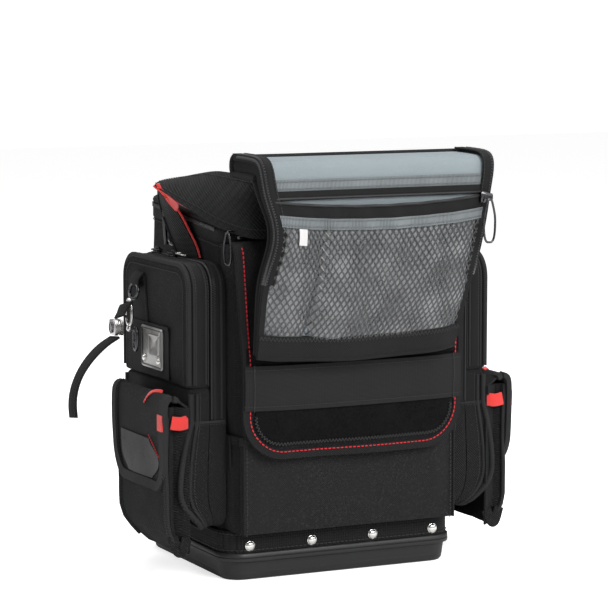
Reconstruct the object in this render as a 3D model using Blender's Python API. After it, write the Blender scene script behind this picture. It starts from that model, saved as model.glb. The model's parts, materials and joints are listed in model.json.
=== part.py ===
"""Electrician's tool pouch: a tall fabric tool bag on a moulded plastic tray, with side pockets.

Metres, +Z up, +X to the wearer's right, front towards -Y. The origin is the centre of the
tray's underside.
"""

import math

import bmesh
import bpy
from mathutils import Matrix, Vector

# ---- driving dimensions -------------------------------------------------------------------
GAP = 0.0003              # air between neighbouring pieces

BODY_HALF_X = 0.113       # outer face of the side walls
BODY_HALF_Y = 0.093       # outer face of the front and back walls
WALL = 0.006              # padded fabric wall
WALL_CORNER = 0.020       # radius of the body's upright corners
PAD_DEPTH = 0.011         # the back pad stands this far off the back wall
BOARD_THICK = 0.003
BOARD_FLOOR = 0.0065
DIVIDER_TOP = 0.270
TRAY_HEIGHT = 0.026
TRAY_LIP = 0.0055         # how far the tray's lip stands out beyond the wall
BAND_TOP = 0.0455         # top of the webbing band above the tray
BAND_OUT = 0.0036         # the band's outer face stands this far off the walls
RIVET_COUNT = 4
RIVET_PITCH = 0.062
SIDE_TOP = 0.325
BACK_TOP = 0.335
FRONT_TOP = 0.320
GUSSET_TOP = 0.369

POCKET_INNER = 0.1138     # the side pockets start here and bulge out
POCKET_SEAM = 0.130       # zip seam between the pocket's inner and outer shells
POCKET_OUTER = 0.152
POCKET_FRONT = -0.092
POCKET_BACK = 0.056
POCKET_BOTTOM = 0.050
POCKET_SPLIT = 0.178      # the zipped cover ends here
POCKET_TOP = 0.287
POCKET_WALL = 0.003
POCKET_ROUND = 0.018
LOWER_OUTER = POCKET_OUTER - 0.002   # the pocket is a little flatter below the cover

TETHER_Y = 0.012           # the tether hangs at this y, and its strap beside it
SLIDER_REAR_Y = 0.026
SLIDER_FRONT_Y = -0.012

POUCH_OUTER = 0.171
POUCH_FRONT = -0.093
POUCH_BACK = 0.021
POUCH_BOTTOM = 0.030
POUCH_TOP = 0.158
FLAP_DROP = 0.070         # length of the pouch flap's hanging part

FRONT_POCKET_Y = -0.1140  # outer face of the lower front pocket
FRONT_POCKET_TOP = 0.130
UPPER_POCKET_Y = -0.1160
FLAP_Y = -0.1205          # outer face of the big front flap
FLAP_THICK = 0.0032
FLAP_FOLD_Z = 0.2035
FLAP_BOTTOM = 0.114
FLAP_HALF_X = 0.110
FLAP_ROUND = 0.040
FLAP_TOP = 0.310
PATCH_BOTTOM = 0.128      # loop-pile patch under the strap
STRAP_BOTTOM = 0.1592     # wide strap sewn across the flap
STRAP_WIDTH = 0.0403

LID_HINGE = (-0.0865, 0.3775)   # y, z of the lid's hinge seam
LID_FRONT_Y = -0.150
LID_TOP = 0.383
LID_END = (-0.136, 0.2095)      # y, z of the lid's free edge, outer face
LID_THICK = 0.0055
LID_SHIFT = 0.010               # the lid sits this far towards +X
LID_HALF_TOP = 0.115
LID_HALF_END = 0.1025
POCKET_BULGE = 0.006            # the net pocket stands this far off the lid

WEBBING = 0.0025
LEAD_THICK = 0.0018

FABRIC = (0.028, 0.028, 0.030)
COLOURS = {
    "fabric": (FABRIC, 0.9, 0.0),
    "lining": ((0.36, 0.40, 0.42), 0.8, 0.0),
    "mesh": ((0.45, 0.46, 0.47), 0.5, 0.0),
    "webbing": ((0.020, 0.020, 0.022), 0.8, 0.0),
    "loop_pile": ((0.012, 0.012, 0.013), 1.0, 0.0),
    "red_webbing": ((0.80, 0.05, 0.04), 0.6, 0.0),
    "plastic": ((0.045, 0.045, 0.048), 0.5, 0.0),
    "board": ((0.10, 0.10, 0.11), 0.6, 0.0),
    "nickel": ((0.75, 0.74, 0.71), 0.2, 1.0),
    "steel": ((0.60, 0.60, 0.60), 0.3, 1.0),
    "black_steel": ((0.05, 0.05, 0.055), 0.35, 1.0),
}


# ---- helpers ------------------------------------------------------------------------------
def clear_scene():
    for obj in list(bpy.data.objects):
        bpy.data.objects.remove(obj, do_unlink=True)


def material(slot):
    """One material per sub-part, in its slot's colour."""
    colour, roughness, metallic = COLOURS[slot]
    made = bpy.data.materials.new(slot)
    made.use_nodes = True
    shader = made.node_tree.nodes["Principled BSDF"]
    shader.inputs["Base Color"].default_value = (*colour, 1.0)
    shader.inputs["Roughness"].default_value = roughness
    shader.inputs["Metallic"].default_value = metallic
    return made


def add(name, bm, slot, origin=(0.0, 0.0, 0.0), smooth_deg=40):
    """Puts a bmesh, drawn in world coordinates, in the scene with its origin at `origin`."""
    bmesh.ops.recalc_face_normals(bm, faces=bm.faces[:])
    bm.transform(Matrix.Translation(-Vector(origin)))
    mesh = bpy.data.meshes.new(name)
    bm.to_mesh(mesh)
    bm.free()
    mesh.shade_smooth()
    mesh.set_sharp_from_angle(angle=math.radians(smooth_deg))
    mesh.materials.append(material(slot))
    obj = bpy.data.objects.new(name, mesh)
    obj.location = origin
    bpy.context.scene.collection.objects.link(obj)
    return obj


def box_mesh(low, high):
    bm = bmesh.new()
    bmesh.ops.create_cube(bm, size=1.0)
    size = Vector(high) - Vector(low)
    centre = (Vector(high) + Vector(low)) / 2
    bm.transform(Matrix.Translation(centre) @ Matrix.Diagonal((*size, 1.0)))
    return bm


def edges_along(bm, axis, keep=None):
    """The edges that run along one axis, optionally only those whose middle passes `keep`."""
    found = []
    for edge in bm.edges:
        run = edge.verts[1].co - edge.verts[0].co
        if abs(run[axis]) < 0.99 * run.length:
            continue
        middle = (edge.verts[0].co + edge.verts[1].co) / 2
        if keep is None or keep(middle):
            found.append(edge)
    return found


def round_edges(bm, edges, radius, segments=3):
    bmesh.ops.bevel(bm, geom=edges, offset=radius, segments=segments, profile=0.5, affect="EDGES")


def panel(name, low, high, slot, round_axis=None, radius=0.0, keep=None, segments=3, origin=None):
    """A solid slab whose edges along `round_axis` are rounded."""
    bm = box_mesh(low, high)
    if round_axis is not None:
        round_edges(bm, edges_along(bm, round_axis, keep), radius, segments)
    return add(name, bm, slot, origin or tuple((Vector(low) + Vector(high)) / 2))


def tub(name, low, high, slot, mouth, wall, radius, keep=None, origin=None):
    """A box open on the side `mouth` faces, with its long edges rounded: a pocket or a cover."""
    axis = max(range(3), key=lambda i: abs(mouth[i]))
    bm = box_mesh(low, high)
    round_edges(bm, edges_along(bm, axis, keep), radius)
    bm.faces.ensure_lookup_table()
    face = max(bm.faces, key=lambda f: f.calc_center_median().dot(Vector(mouth)))
    bmesh.ops.inset_region(bm, faces=[face], thickness=wall, use_even_offset=True)
    inner = bmesh.ops.extrude_discrete_faces(bm, faces=[face])["faces"][0]
    depth = abs(high[axis] - low[axis]) - wall
    for vert in inner.verts:
        vert.co -= Vector(mouth) * depth
    return add(name, bm, slot, origin or tuple((Vector(low) + Vector(high)) / 2))


def rounded_ring(half_x, half_y, z, radius, centre_y=0.0, segments=4):
    """Points round a rectangle with rounded corners, at height z."""
    points = []
    for quarter in range(4):
        side_x = 1 if quarter in (0, 3) else -1
        side_y = 1 if quarter in (0, 1) else -1
        for step in range(segments + 1):
            angle = math.pi / 2 * (quarter + step / segments)
            x = side_x * (half_x - radius) + radius * math.cos(angle)
            y = side_y * (half_y - radius) + radius * math.sin(angle)
            points.append(Vector((x, y + centre_y, z)))
    return points


def loft(rings, closed=False):
    """A bmesh skinned through rings of equal length. The ends are capped unless it closes."""
    bm = bmesh.new()
    rows = [[bm.verts.new(p) for p in ring] for ring in rings]
    count = len(rows[0])
    pairs = list(zip(rows, rows[1:]))
    if closed:
        pairs.append((rows[-1], rows[0]))
    for row, following in pairs:
        for i in range(count):
            j = (i + 1) % count
            bm.faces.new((row[i], row[j], following[j], following[i]))
    if not closed:
        bm.faces.new(rows[0])
        bm.faces.new(rows[-1])
    return bm


def ribbon(path, across, widths, thickness):
    """A strip of cloth: `path` runs along its outer face's middle, `across` points over its width."""
    rings = []
    across = Vector(across).normalized()
    for i, point in enumerate(path):
        before = Vector(path[max(i - 1, 0)])
        after = Vector(path[min(i + 1, len(path) - 1)])
        inward = across.cross((after - before).normalized()).normalized() * thickness
        centre = Vector(point)
        side = across * widths[i] / 2
        rings.append([centre - side, centre + side, centre + side + inward, centre - side + inward])
    return loft(rings)


def wire(name, points, radius, slot, closed=True, origin=(0.0, 0.0, 0.0), sides=6):
    """A bent wire of round section along a polyline, closed into a loop or with flat ends."""
    count = len(points)
    rings = []
    previous = None
    for i in range(count):
        before = Vector(points[i - 1] if closed or i else points[0])
        after = Vector(points[(i + 1) % count] if closed or i < count - 1 else points[-1])
        tangent = (after - before).normalized()
        if previous is None:
            previous = tangent.orthogonal().normalized()
        normal = (previous - tangent * previous.dot(tangent)).normalized()
        previous = normal
        other = tangent.cross(normal)
        ring = []
        for side in range(sides):
            angle = 2 * math.pi * side / sides
            offset = normal * math.cos(angle) + other * math.sin(angle)
            ring.append(Vector(points[i]) + offset * radius)
        rings.append(ring)
    return add(name, loft(rings, closed), slot, origin, smooth_deg=60)


def oval(centre, long_axis, short_axis, half_long, half_short, count=16):
    """Points round a stadium-like oval through `centre`."""
    points = []
    for i in range(count):
        angle = 2 * math.pi * i / count
        along = Vector(long_axis) * half_long * math.sin(angle)
        over = Vector(short_axis) * half_short * math.cos(angle)
        points.append(Vector(centre) + along + over)
    return points


# ---- tray and main compartment ---------------------------------------------------------------
def base_tray():
    half_x = BODY_HALF_X + TRAY_LIP
    half_y = BODY_HALF_Y + TRAY_LIP
    inset = 0.006
    floor = 0.006
    profile = (
        (-inset, 0.0),
        (-inset + 0.003, 0.003),
        (-0.0035, TRAY_HEIGHT - 0.0075),
        (0.0, TRAY_HEIGHT - 0.006),
        (0.0, TRAY_HEIGHT),
        (-0.0045, TRAY_HEIGHT),
        (-0.0050, floor),
    )
    rings = [rounded_ring(half_x + grow, half_y + grow, z, 0.022) for grow, z in profile]
    add("base_tray", loft(rings), "plastic")


def base_band():
    top, bottom = BAND_TOP, TRAY_HEIGHT + GAP
    outer, inner = BAND_OUT, GAP
    corners = ((outer, bottom), (outer, top), (inner, top), (inner, bottom))
    rings = [
        rounded_ring(BODY_HALF_X + grow, BODY_HALF_Y + grow, z, WALL_CORNER - 0.002 + grow)
        for grow, z in corners
    ]
    add("base_band", loft(rings, closed=True), "webbing")


def dome_rivet(name, at, axis, radius, height, slot, sides=10):
    """A domed rivet head standing on its flat face, `axis` being the way the dome points."""
    turn = Vector((0, 0, 1)).rotation_difference(Vector(axis)).to_matrix().to_4x4()
    rings = []
    for wide, high in ((1.0, 0.0), (1.0, 0.3), (0.8, 0.75), (0.4, 1.0)):
        ring = []
        for i in range(sides):
            angle = 2 * math.pi * i / sides
            across = radius * wide
            ring.append(Vector((across * math.cos(angle), across * math.sin(angle), height * high)))
        rings.append(ring)
    bm = loft(rings)
    bm.transform(Matrix.Translation(Vector(at)) @ turn)
    add(name, bm, slot, origin=at)


def base_rivets():
    y = -(BODY_HALF_Y + BAND_OUT + GAP)
    first = -RIVET_PITCH * (RIVET_COUNT - 1) / 2
    for i in range(RIVET_COUNT):
        at = (first + RIVET_PITCH * i, y, 0.0325)
        dome_rivet(f"base_rivet_{i + 1}", at, (0, -1, 0), 0.0048, 0.0026, "nickel")


def main_walls():
    bottom = TRAY_HEIGHT + GAP
    half_x, half_y = BODY_HALF_X, BODY_HALF_Y
    end_x = half_x - WALL_CORNER
    panel("front_wall", (-end_x, -half_y, bottom), (end_x, -half_y + WALL, FRONT_TOP), "fabric")
    panel("back_wall", (-end_x, half_y - WALL, bottom), (end_x, half_y, BACK_TOP), "fabric",
          1, 0.012, lambda m: m.z > BACK_TOP - WALL)
    side_wall("left_wall", -1, bottom)
    side_wall("right_wall", 1, bottom)
    panel("back_pad", (-0.095, half_y + GAP, BAND_TOP + 0.002), (0.095, half_y + PAD_DEPTH, 0.300),
          "fabric", 1, 0.016)


def stiffeners():
    """The board in the bottom and the board that parts the bag into front and rear."""
    floor_top = BOARD_FLOOR + BOARD_THICK
    panel("floor_board", (-0.098, -0.078, BOARD_FLOOR), (0.098, 0.078, floor_top), "board", 2, 0.010)
    panel("inner_divider", (-0.100, 0.006, floor_top + 0.0005), (0.100, 0.006 + BOARD_THICK, DIVIDER_TOP),
          "board", 1, 0.015, lambda m: m.z > DIVIDER_TOP - 0.010)


def side_wall(name, side, bottom):
    """A wall whose front and back corners turn round to meet the front and back walls."""
    half_x, half_y = BODY_HALF_X, BODY_HALF_Y
    corner = WALL_CORNER
    end_x = half_x - corner + 2 * GAP
    outline = []
    for radius in (corner, corner - WALL):
        arc = []
        for turn in (-1, 1):
            for step in range(5):
                angle = math.pi / 2 * (step / 4 if turn > 0 else 1 - step / 4)
                x = half_x - corner + radius * math.cos(angle)
                y = turn * (half_y - corner + radius * math.sin(angle))
                arc.append((max(x, end_x), y))
        outline += arc if radius == corner else arc[::-1]
    rings = []
    for z in (bottom, SIDE_TOP):
        rings.append([Vector((side * x, y, z)) for x, y in outline])
    add(name, loft(rings), "fabric")


# ---- front pockets and flap -----------------------------------------------------------------
def front_pockets():
    half_x = FLAP_HALF_X - 0.004
    inner = -(BODY_HALF_Y + BAND_OUT + 2 * GAP)
    low, high = (-half_x, FRONT_POCKET_Y, BAND_TOP + GAP), (half_x, inner, FRONT_POCKET_TOP)
    tub("front_lower_pocket", low, high, "fabric", (0, 0, 1), 0.0025, 0.006, lambda m: m.y < -0.1)
    low = (-half_x + 0.0005, UPPER_POCKET_Y, FRONT_POCKET_TOP + 2 * GAP)
    high = (half_x - 0.0005, -BODY_HALF_Y - GAP, FLAP_TOP - 0.0045)
    tub("front_upper_pocket", low, high, "fabric", (0, 0, 1), 0.0025, 0.006, lambda m: m.y < -0.1)


def front_flap():
    turn = 0.003
    upper = [
        (0, -BODY_HALF_Y - GAP, FLAP_TOP),
        (0, FLAP_Y + turn, FLAP_TOP),
        (0, FLAP_Y, FLAP_TOP - turn),
        (0, FLAP_Y, FLAP_FOLD_Z + GAP),
    ]
    add("front_flap_upper", ribbon(upper, (1, 0, 0), [2 * FLAP_HALF_X] * 4, FLAP_THICK), "fabric")
    fold = (0.0, FLAP_Y, FLAP_FOLD_Z)
    low = (-FLAP_HALF_X, FLAP_Y, FLAP_BOTTOM)
    high = (FLAP_HALF_X, FLAP_Y + FLAP_THICK, FLAP_FOLD_Z - GAP)
    panel("front_flap_lower", low, high, "fabric", 1, FLAP_ROUND, lambda m: m.z < FLAP_BOTTOM + 0.01, 6, fold)
    face = FLAP_Y - GAP
    low, high = (-0.098, face - 0.0015, PATCH_BOTTOM), (0.098, face, STRAP_BOTTOM - 0.0007)
    panel("flap_loop_patch", low, high, "loop_pile", 1, 0.024, lambda m: m.z < PATCH_BOTTOM + 0.002, 5, fold)
    low, high = (-0.1085, face - 0.0030, STRAP_BOTTOM), (0.1085, face, STRAP_BOTTOM + STRAP_WIDTH)
    panel("flap_strap", low, high, "webbing", origin=fold)


# ---- lid ------------------------------------------------------------------------------------
def lid_path():
    """The middle of the lid's outer face, from its hinge seam to its free edge."""
    y, z = LID_FRONT_Y, LID_TOP
    return (
        (0.0, LID_HINGE[0] - 0.0015, z),
        (0.0, y + 0.014, z),
        (0.0, y + 0.004, z - 0.004),
        (0.0, y, z - 0.014),
        (0.0, y - 0.004, 0.325),
        (0.0, y + 0.001, 0.265),
        (0.0, *LID_END),
    )


def lid_share(z):
    """0 at the lid's free edge, 1 at its hinge."""
    return (z - LID_END[1]) / (LID_TOP - LID_END[1])


def lid():
    hinge = (LID_SHIFT, *LID_HINGE)
    path = [(LID_SHIFT * lid_share(z), y, z) for _, y, z in lid_path()]
    widths = [2 * (LID_HALF_END + (LID_HALF_TOP - LID_HALF_END) * lid_share(z)) for _, _, z in path]
    add("lid_panel", ribbon(path, (1, 0, 0), widths, LID_THICK), "lining", origin=hinge)

    face = LID_FRONT_Y - POCKET_BULGE
    pocket = [
        (0.006, face - 0.0030, 0.327),
        (0.004, face - 0.0055, 0.306),
        (0.003, face - 0.0020, 0.262),
        (0.001, LID_END[0] - 0.0045, 0.2170),
    ]
    add("lid_mesh_pocket", ribbon(pocket, (1, 0, 0), [0.205, 0.206, 0.203, 0.199], 0.0022), "mesh", origin=hinge)


def lid_zip():
    """The lid pocket's zip slider and its wire-loop pull, at the right end of the zip."""
    at = Vector((LID_SHIFT + 0.104, LID_FRONT_Y - 0.0075, 0.3450))
    half = Vector((0.0050, 0.0025, 0.0035))
    panel("lid_zip_slider", tuple(at - half), tuple(at + half), "steel", 1, 0.002, origin=tuple(at))
    pivot = at + Vector((0.0, -0.0062, -0.0010))
    loop = oval(pivot + Vector((0, 0, -0.0200)), (0, 0, 1), (1, 0, 0), 0.0195, 0.0058)
    wire("lid_zip_pull", loop, 0.0011, "steel", origin=tuple(pivot))


def lid_gusset():
    low = (-0.048, -BODY_HALF_Y, FRONT_TOP + GAP)
    high = (0.092, -BODY_HALF_Y + WALL, GUSSET_TOP)
    panel("lid_hinge_gusset", low, high, "fabric")


# ---- side pockets ----------------------------------------------------------------------------
def spread(side, near, far):
    """Low and high x of a piece between two distances from the middle, on one side."""
    return (near, far) if side > 0 else (-far, -near)


def side_box(side, near, far, y0, y1, z0, z1):
    low_x, high_x = spread(side, near, far)
    return (low_x, y0, z0), (high_x, y1, z1)


def side_pocket(side, label):
    """The pocket's inner shell, the fixed lower part of its outer shell, and the zipped cover."""
    y0, y1 = POCKET_FRONT, POCKET_BACK
    inward = (-side, 0, 0)
    low, high = side_box(side, POCKET_INNER, POCKET_SEAM - GAP, y0, y1, POCKET_BOTTOM, POCKET_TOP)
    tub(f"{label}_pocket_shell", low, high, "fabric", (side, 0, 0), POCKET_WALL, POCKET_ROUND)
    low, high = side_box(side, POCKET_SEAM, LOWER_OUTER, y0, y1, POCKET_BOTTOM, POCKET_SPLIT - GAP)
    tub(f"{label}_pocket_lower", low, high, "fabric", inward, POCKET_WALL, POCKET_ROUND,
        lambda m: m.z < POCKET_SPLIT - 0.05)
    hinge = (side * POCKET_OUTER, POCKET_BACK + GAP, (POCKET_SPLIT + POCKET_TOP) / 2)
    low, high = side_box(side, POCKET_SEAM, POCKET_OUTER, y0, y1, POCKET_SPLIT, POCKET_TOP)
    tub(f"{label}_pocket_cover", low, high, "fabric", inward, POCKET_WALL, POCKET_ROUND,
        lambda m: m.z > POCKET_SPLIT + 0.05, hinge)


def zip_sliders(side, label):
    z = POCKET_TOP + 0.0040
    for where, y in (("rear", SLIDER_REAR_Y), ("front", SLIDER_FRONT_Y)):
        centre = Vector((side * POCKET_SEAM, y, z))
        half = Vector((0.0042, 0.0065, 0.0032))
        panel(f"{label}_zip_slider_{where}", tuple(centre - half), tuple(centre + half), "steel", 2, 0.0025)
    pivot = Vector((side * POCKET_SEAM, SLIDER_FRONT_Y - 0.0085, z + 0.001))
    low = pivot + Vector((-0.0030, -0.0200, -0.0008))
    high = pivot + Vector((0.0030, 0.0010, 0.0008))
    panel(f"{label}_zip_pull", tuple(low), tuple(high), "steel", 2, 0.0022, origin=tuple(pivot))


def side_pouch(side, label):
    """Open-topped pouch low on the side pocket, its hanging flap, and a red webbing tab."""
    near = LOWER_OUTER + GAP
    low, high = side_box(side, near, POUCH_OUTER, POUCH_FRONT, POUCH_BACK, POUCH_BOTTOM, POUCH_TOP)
    tub(f"{label}_pouch", low, high, "fabric", (0, 0, 1), 0.0025, 0.008, lambda m: m.x * side > POUCH_OUTER - 0.01)
    hinge_x, hinge_z = near + 0.0006, POUCH_TOP + 0.0040
    out = POUCH_OUTER + GAP + 0.0028
    middle = (POUCH_FRONT + POUCH_BACK) / 2
    path = [
        (side * hinge_x, middle, hinge_z),
        (side * (out - 0.004), middle, hinge_z + 0.001),
        (side * out, middle, hinge_z - 0.003),
        (side * out, middle, hinge_z - FLAP_DROP),
    ]
    flap = ribbon(path, (0, side, 0), [0.118, 0.120, 0.120, 0.100], WEBBING)
    add(f"{label}_pouch_flap", flap, "fabric", origin=(side * hinge_x, middle, hinge_z))
    front = POUCH_FRONT - GAP
    low, high = side_box(side, near + 0.002, near + 0.0150, front - 0.0027, front, POUCH_TOP - 0.018, POUCH_TOP - 0.006)
    panel(f"{label}_red_tab", low, high, "red_webbing", 2, 0.0010)


# ---- tether, carabiner and tape strap ----------------------------------------------------------
def tether():
    """A webbing loop on the left pocket, its ring, and a carabiner with a sprung gate."""
    face = -(POCKET_OUTER + GAP)
    y = TETHER_Y
    panel("tether_loop", (face - 0.0040, y - 0.010, 0.2640), (face, y + 0.010, 0.2720), "webbing", 1, 0.0015)
    bar = Vector((face - 0.0065, y, 0.2625))
    ring = []
    for out, across, drop in ((0, -1, 0), (0, 1, 0), (1, 1, 1), (1, -1, 1)):
        ring.append(bar + Vector((-0.002 * out, 0.009 * across, -0.013 * drop)))
    wire("tether_ring", ring, 0.0013, "black_steel", origin=tuple(bar))
    hook_top = bar + Vector((-0.0060, 0.0, -0.0130))
    centre = hook_top + Vector((0.0, 0.0, -0.0130))
    arc = []
    for i in range(13):
        angle = math.radians(60 + 270 * i / 12)
        arc.append(centre + Vector((0, 0.0075 * math.cos(angle), 0.0125 * math.sin(angle))))
    wire("carabiner", arc, 0.0014, "black_steel", closed=False, origin=tuple(hook_top))
    foot, tip = arc[-1], arc[0]
    run = tip - foot
    gate = [foot + run * 0.17, foot + run * 0.83]
    wire("carabiner_gate", gate, 0.0012, "steel", closed=False, origin=tuple(foot))


def tape_strap():
    """The webbing strap that carries insulating tape, its sprung steel clip and the spare hook."""
    y = TETHER_Y
    top = (-0.1655, y, 0.2440)
    clip = Vector((-0.1805, y - 0.008, 0.2245))
    lead = [(-0.1665, y, 0.2440), (-0.1715, y - 0.003, 0.2385), (-0.1760, y - 0.006, 0.2330)]
    add("tether_webbing", ribbon(lead, (0, 1, 0), [0.010] * 3, LEAD_THICK), "webbing", origin=top)
    half = Vector((0.0045, 0.0075, 0.0070))
    panel("strap_clip", tuple(clip - half), tuple(clip + half), "steel", 1, 0.0030, origin=top)
    path = []
    for i in range(8):
        share = i / 7
        x = clip.x - 0.0010 - 0.045 * math.sin(share * 1.75)
        z = clip.z - 0.0100 - 0.069 * share ** 1.3
        path.append((x, clip.y - 0.010 * share, z))
    add("tape_strap", ribbon(path, (0, 1, 0), [0.014] * 8, LEAD_THICK), "webbing", origin=top)
    hook = Vector((-0.1600, y - 0.004, 0.2120))
    loop = oval(hook, (0, 0, 1), (0, 1, 0), 0.0100, 0.0045)
    wire("snap_hook", loop, 0.0012, "black_steel", origin=tuple(hook + Vector((0, 0, 0.0100))))


def clip_plate():
    """Steel plate that a tape measure's belt clip hooks over."""
    face = -(POCKET_OUTER + GAP)
    y0, y1, z0, z1 = -0.0440, 0.0060, 0.1880, 0.2260
    bm = box_mesh((face - 0.0014, y0, z0), (face, y1, z1))
    round_edges(bm, edges_along(bm, 0), 0.003)
    add("clip_plate", bm, "steel", origin=(face, (y0 + y1) / 2, z0))
    for i, y in enumerate((y0 + 0.008, y1 - 0.008)):
        at = (face - 0.0014 - GAP, y, z0 + 0.008)
        dome_rivet(f"clip_rivet_{i + 1}", at, (-1, 0, 0), 0.0035, 0.0016, "nickel")


# ---- carry strap and corner zip -----------------------------------------------------------------
def strap_ring(side, label):
    """The ring that ties the carry strap to the side wall, above the side pocket."""
    x = side * (BODY_HALF_X + 0.0045)
    foot, top = 0.2960, 0.3240
    ring = [(x, -0.010, foot), (x, 0.030, foot), (x, 0.027, top), (x, -0.007, top)]
    wire(f"{label}_strap_ring", ring, 0.0022, "black_steel", origin=(x, 0.010, foot))


def carry_strap():
    """Wide webbing from the left ring, folded out over the front left corner, and on under the lid."""
    # upper edge and lower edge of the webbing at each station
    stations = (
        ((-0.1235, 0.034, 0.309), (-0.1235, -0.008, 0.309)),
        ((-0.1245, 0.037, 0.332), (-0.1270, -0.004, 0.332)),
        ((-0.1225, 0.036, 0.354), (-0.1420, 0.001, 0.353)),
        ((-0.1115, 0.016, 0.359), (-0.1350, -0.020, 0.344)),
        ((-0.1030, -0.010, 0.364), (-0.1270, -0.047, 0.333)),
        ((-0.0980, -0.035, 0.366), (-0.1180, -0.080, 0.321)),
        ((-0.0960, -0.072, 0.364), (-0.1070, -0.110, 0.3155)),
        ((-0.0850, -0.098, 0.360), (-0.0960, -0.125, 0.3140)),
        ((-0.0500, -0.102, 0.358), (-0.0500, -0.134, 0.318)),
        ((0.0600, -0.102, 0.356), (0.0600, -0.134, 0.320)),
    )
    rings = []
    for i, (upper, lower) in enumerate(stations):
        upper, lower = Vector(upper), Vector(lower)
        back = Vector((1.0, 0.0, 0.0)) if i < 3 else Vector((0.6, 0.6, -0.5)).normalized()
        back = Vector((0.0, 0.6, -0.8)) if i > 7 else back
        rings.append([upper, lower, lower + back * WEBBING, upper + back * WEBBING])
    add("carry_strap", loft(rings), "webbing")


def corner_zip():
    """Slider and wire pull at the front left corner, at the foot of the body's own zip."""
    at = Vector((-0.1015, -0.0968, 0.3150))
    half = Vector((0.0050, 0.0028, 0.0040))
    panel("corner_zip_slider", tuple(at - half), tuple(at + half), "steel", 1, 0.0020, origin=tuple(at))
    pivot = at + Vector((-0.0145, -0.0042, 0.0025))
    loop = oval(pivot + Vector((0, 0, -0.0150)), (0, 0, 1), (0.6, -0.8, 0), 0.0145, 0.0045)
    wire("corner_zip_pull", loop, 0.0011, "steel", origin=tuple(pivot))


def build():
    clear_scene()
    base_tray()
    base_band()
    base_rivets()
    main_walls()
    stiffeners()
    front_pockets()
    front_flap()
    lid_gusset()
    lid()
    lid_zip()
    for side, label in ((-1, "left"), (1, "right")):
        side_pocket(side, label)
        zip_sliders(side, label)
        side_pouch(side, label)
        strap_ring(side, label)
    tether()
    tape_strap()
    clip_plate()
    carry_strap()
    corner_zip()


build()
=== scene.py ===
"""Electrician tool pouch: fabric shells, stitching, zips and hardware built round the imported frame.

Everything is in metres in the frame's own coordinates: +X right, +Z up, front towards -Y.
"""

import json
import math

import bpy
import numpy as np
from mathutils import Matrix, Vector, noise


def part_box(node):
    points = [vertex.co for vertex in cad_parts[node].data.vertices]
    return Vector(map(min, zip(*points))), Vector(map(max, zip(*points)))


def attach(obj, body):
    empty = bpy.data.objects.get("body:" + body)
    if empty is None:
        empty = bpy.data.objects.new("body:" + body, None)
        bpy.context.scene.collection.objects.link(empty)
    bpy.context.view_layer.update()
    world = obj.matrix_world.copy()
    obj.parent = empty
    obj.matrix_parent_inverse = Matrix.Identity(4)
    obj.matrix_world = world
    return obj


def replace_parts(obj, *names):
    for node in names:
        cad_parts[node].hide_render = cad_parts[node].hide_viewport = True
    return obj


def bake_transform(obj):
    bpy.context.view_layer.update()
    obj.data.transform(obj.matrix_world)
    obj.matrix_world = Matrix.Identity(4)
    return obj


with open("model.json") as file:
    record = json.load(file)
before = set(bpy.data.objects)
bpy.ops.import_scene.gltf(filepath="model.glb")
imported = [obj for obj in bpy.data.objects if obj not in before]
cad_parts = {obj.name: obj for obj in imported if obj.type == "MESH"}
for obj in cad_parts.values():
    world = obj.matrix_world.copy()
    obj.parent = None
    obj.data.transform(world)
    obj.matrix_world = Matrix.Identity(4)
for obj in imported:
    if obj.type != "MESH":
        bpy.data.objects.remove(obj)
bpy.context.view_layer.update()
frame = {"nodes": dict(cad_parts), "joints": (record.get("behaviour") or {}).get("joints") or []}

MM = 0.001


# ---- small mesh toolkit ---------------------------------------------------------------------
def link(name, verts, faces, mat, body=None, smooth=True):
    """A new mesh object, riding on `body` when one is given."""
    mesh = bpy.data.meshes.new(name)
    mesh.from_pydata([tuple(v) for v in verts], [], [tuple(f) for f in faces])
    mesh.validate()
    if smooth:
        mesh.shade_smooth()
        mesh.set_sharp_from_angle(angle=math.radians(50))
    mesh.materials.append(mat)
    obj = bpy.data.objects.new(name, mesh)
    bpy.context.scene.collection.objects.link(obj)
    if body:
        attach(obj, body)
    return obj


def grid_faces(rows, cols, wrap_rows=False, wrap_cols=False, flip=False):
    faces = []
    for i in range(rows if wrap_rows else rows - 1):
        for j in range(cols if wrap_cols else cols - 1):
            a, b = i * cols + j, i * cols + (j + 1) % cols
            c = ((i + 1) % rows) * cols + (j + 1) % cols
            d = ((i + 1) % rows) * cols + j
            faces.append((a, d, c, b) if flip else (a, b, c, d))
    return faces


def unit(v):
    v = np.asarray(v, float)
    return v / np.maximum(np.linalg.norm(v, axis=-1, keepdims=True), 1e-12)


def grid_normals(points, wrap_cols=False):
    """Unit normals of a rows x cols x 3 grid of points."""
    down = np.gradient(points, axis=0)
    if wrap_cols:
        over = np.roll(points, -1, axis=1) - np.roll(points, 1, axis=1)
    else:
        over = np.gradient(points, axis=1)
    return unit(np.cross(over, down))


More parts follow.
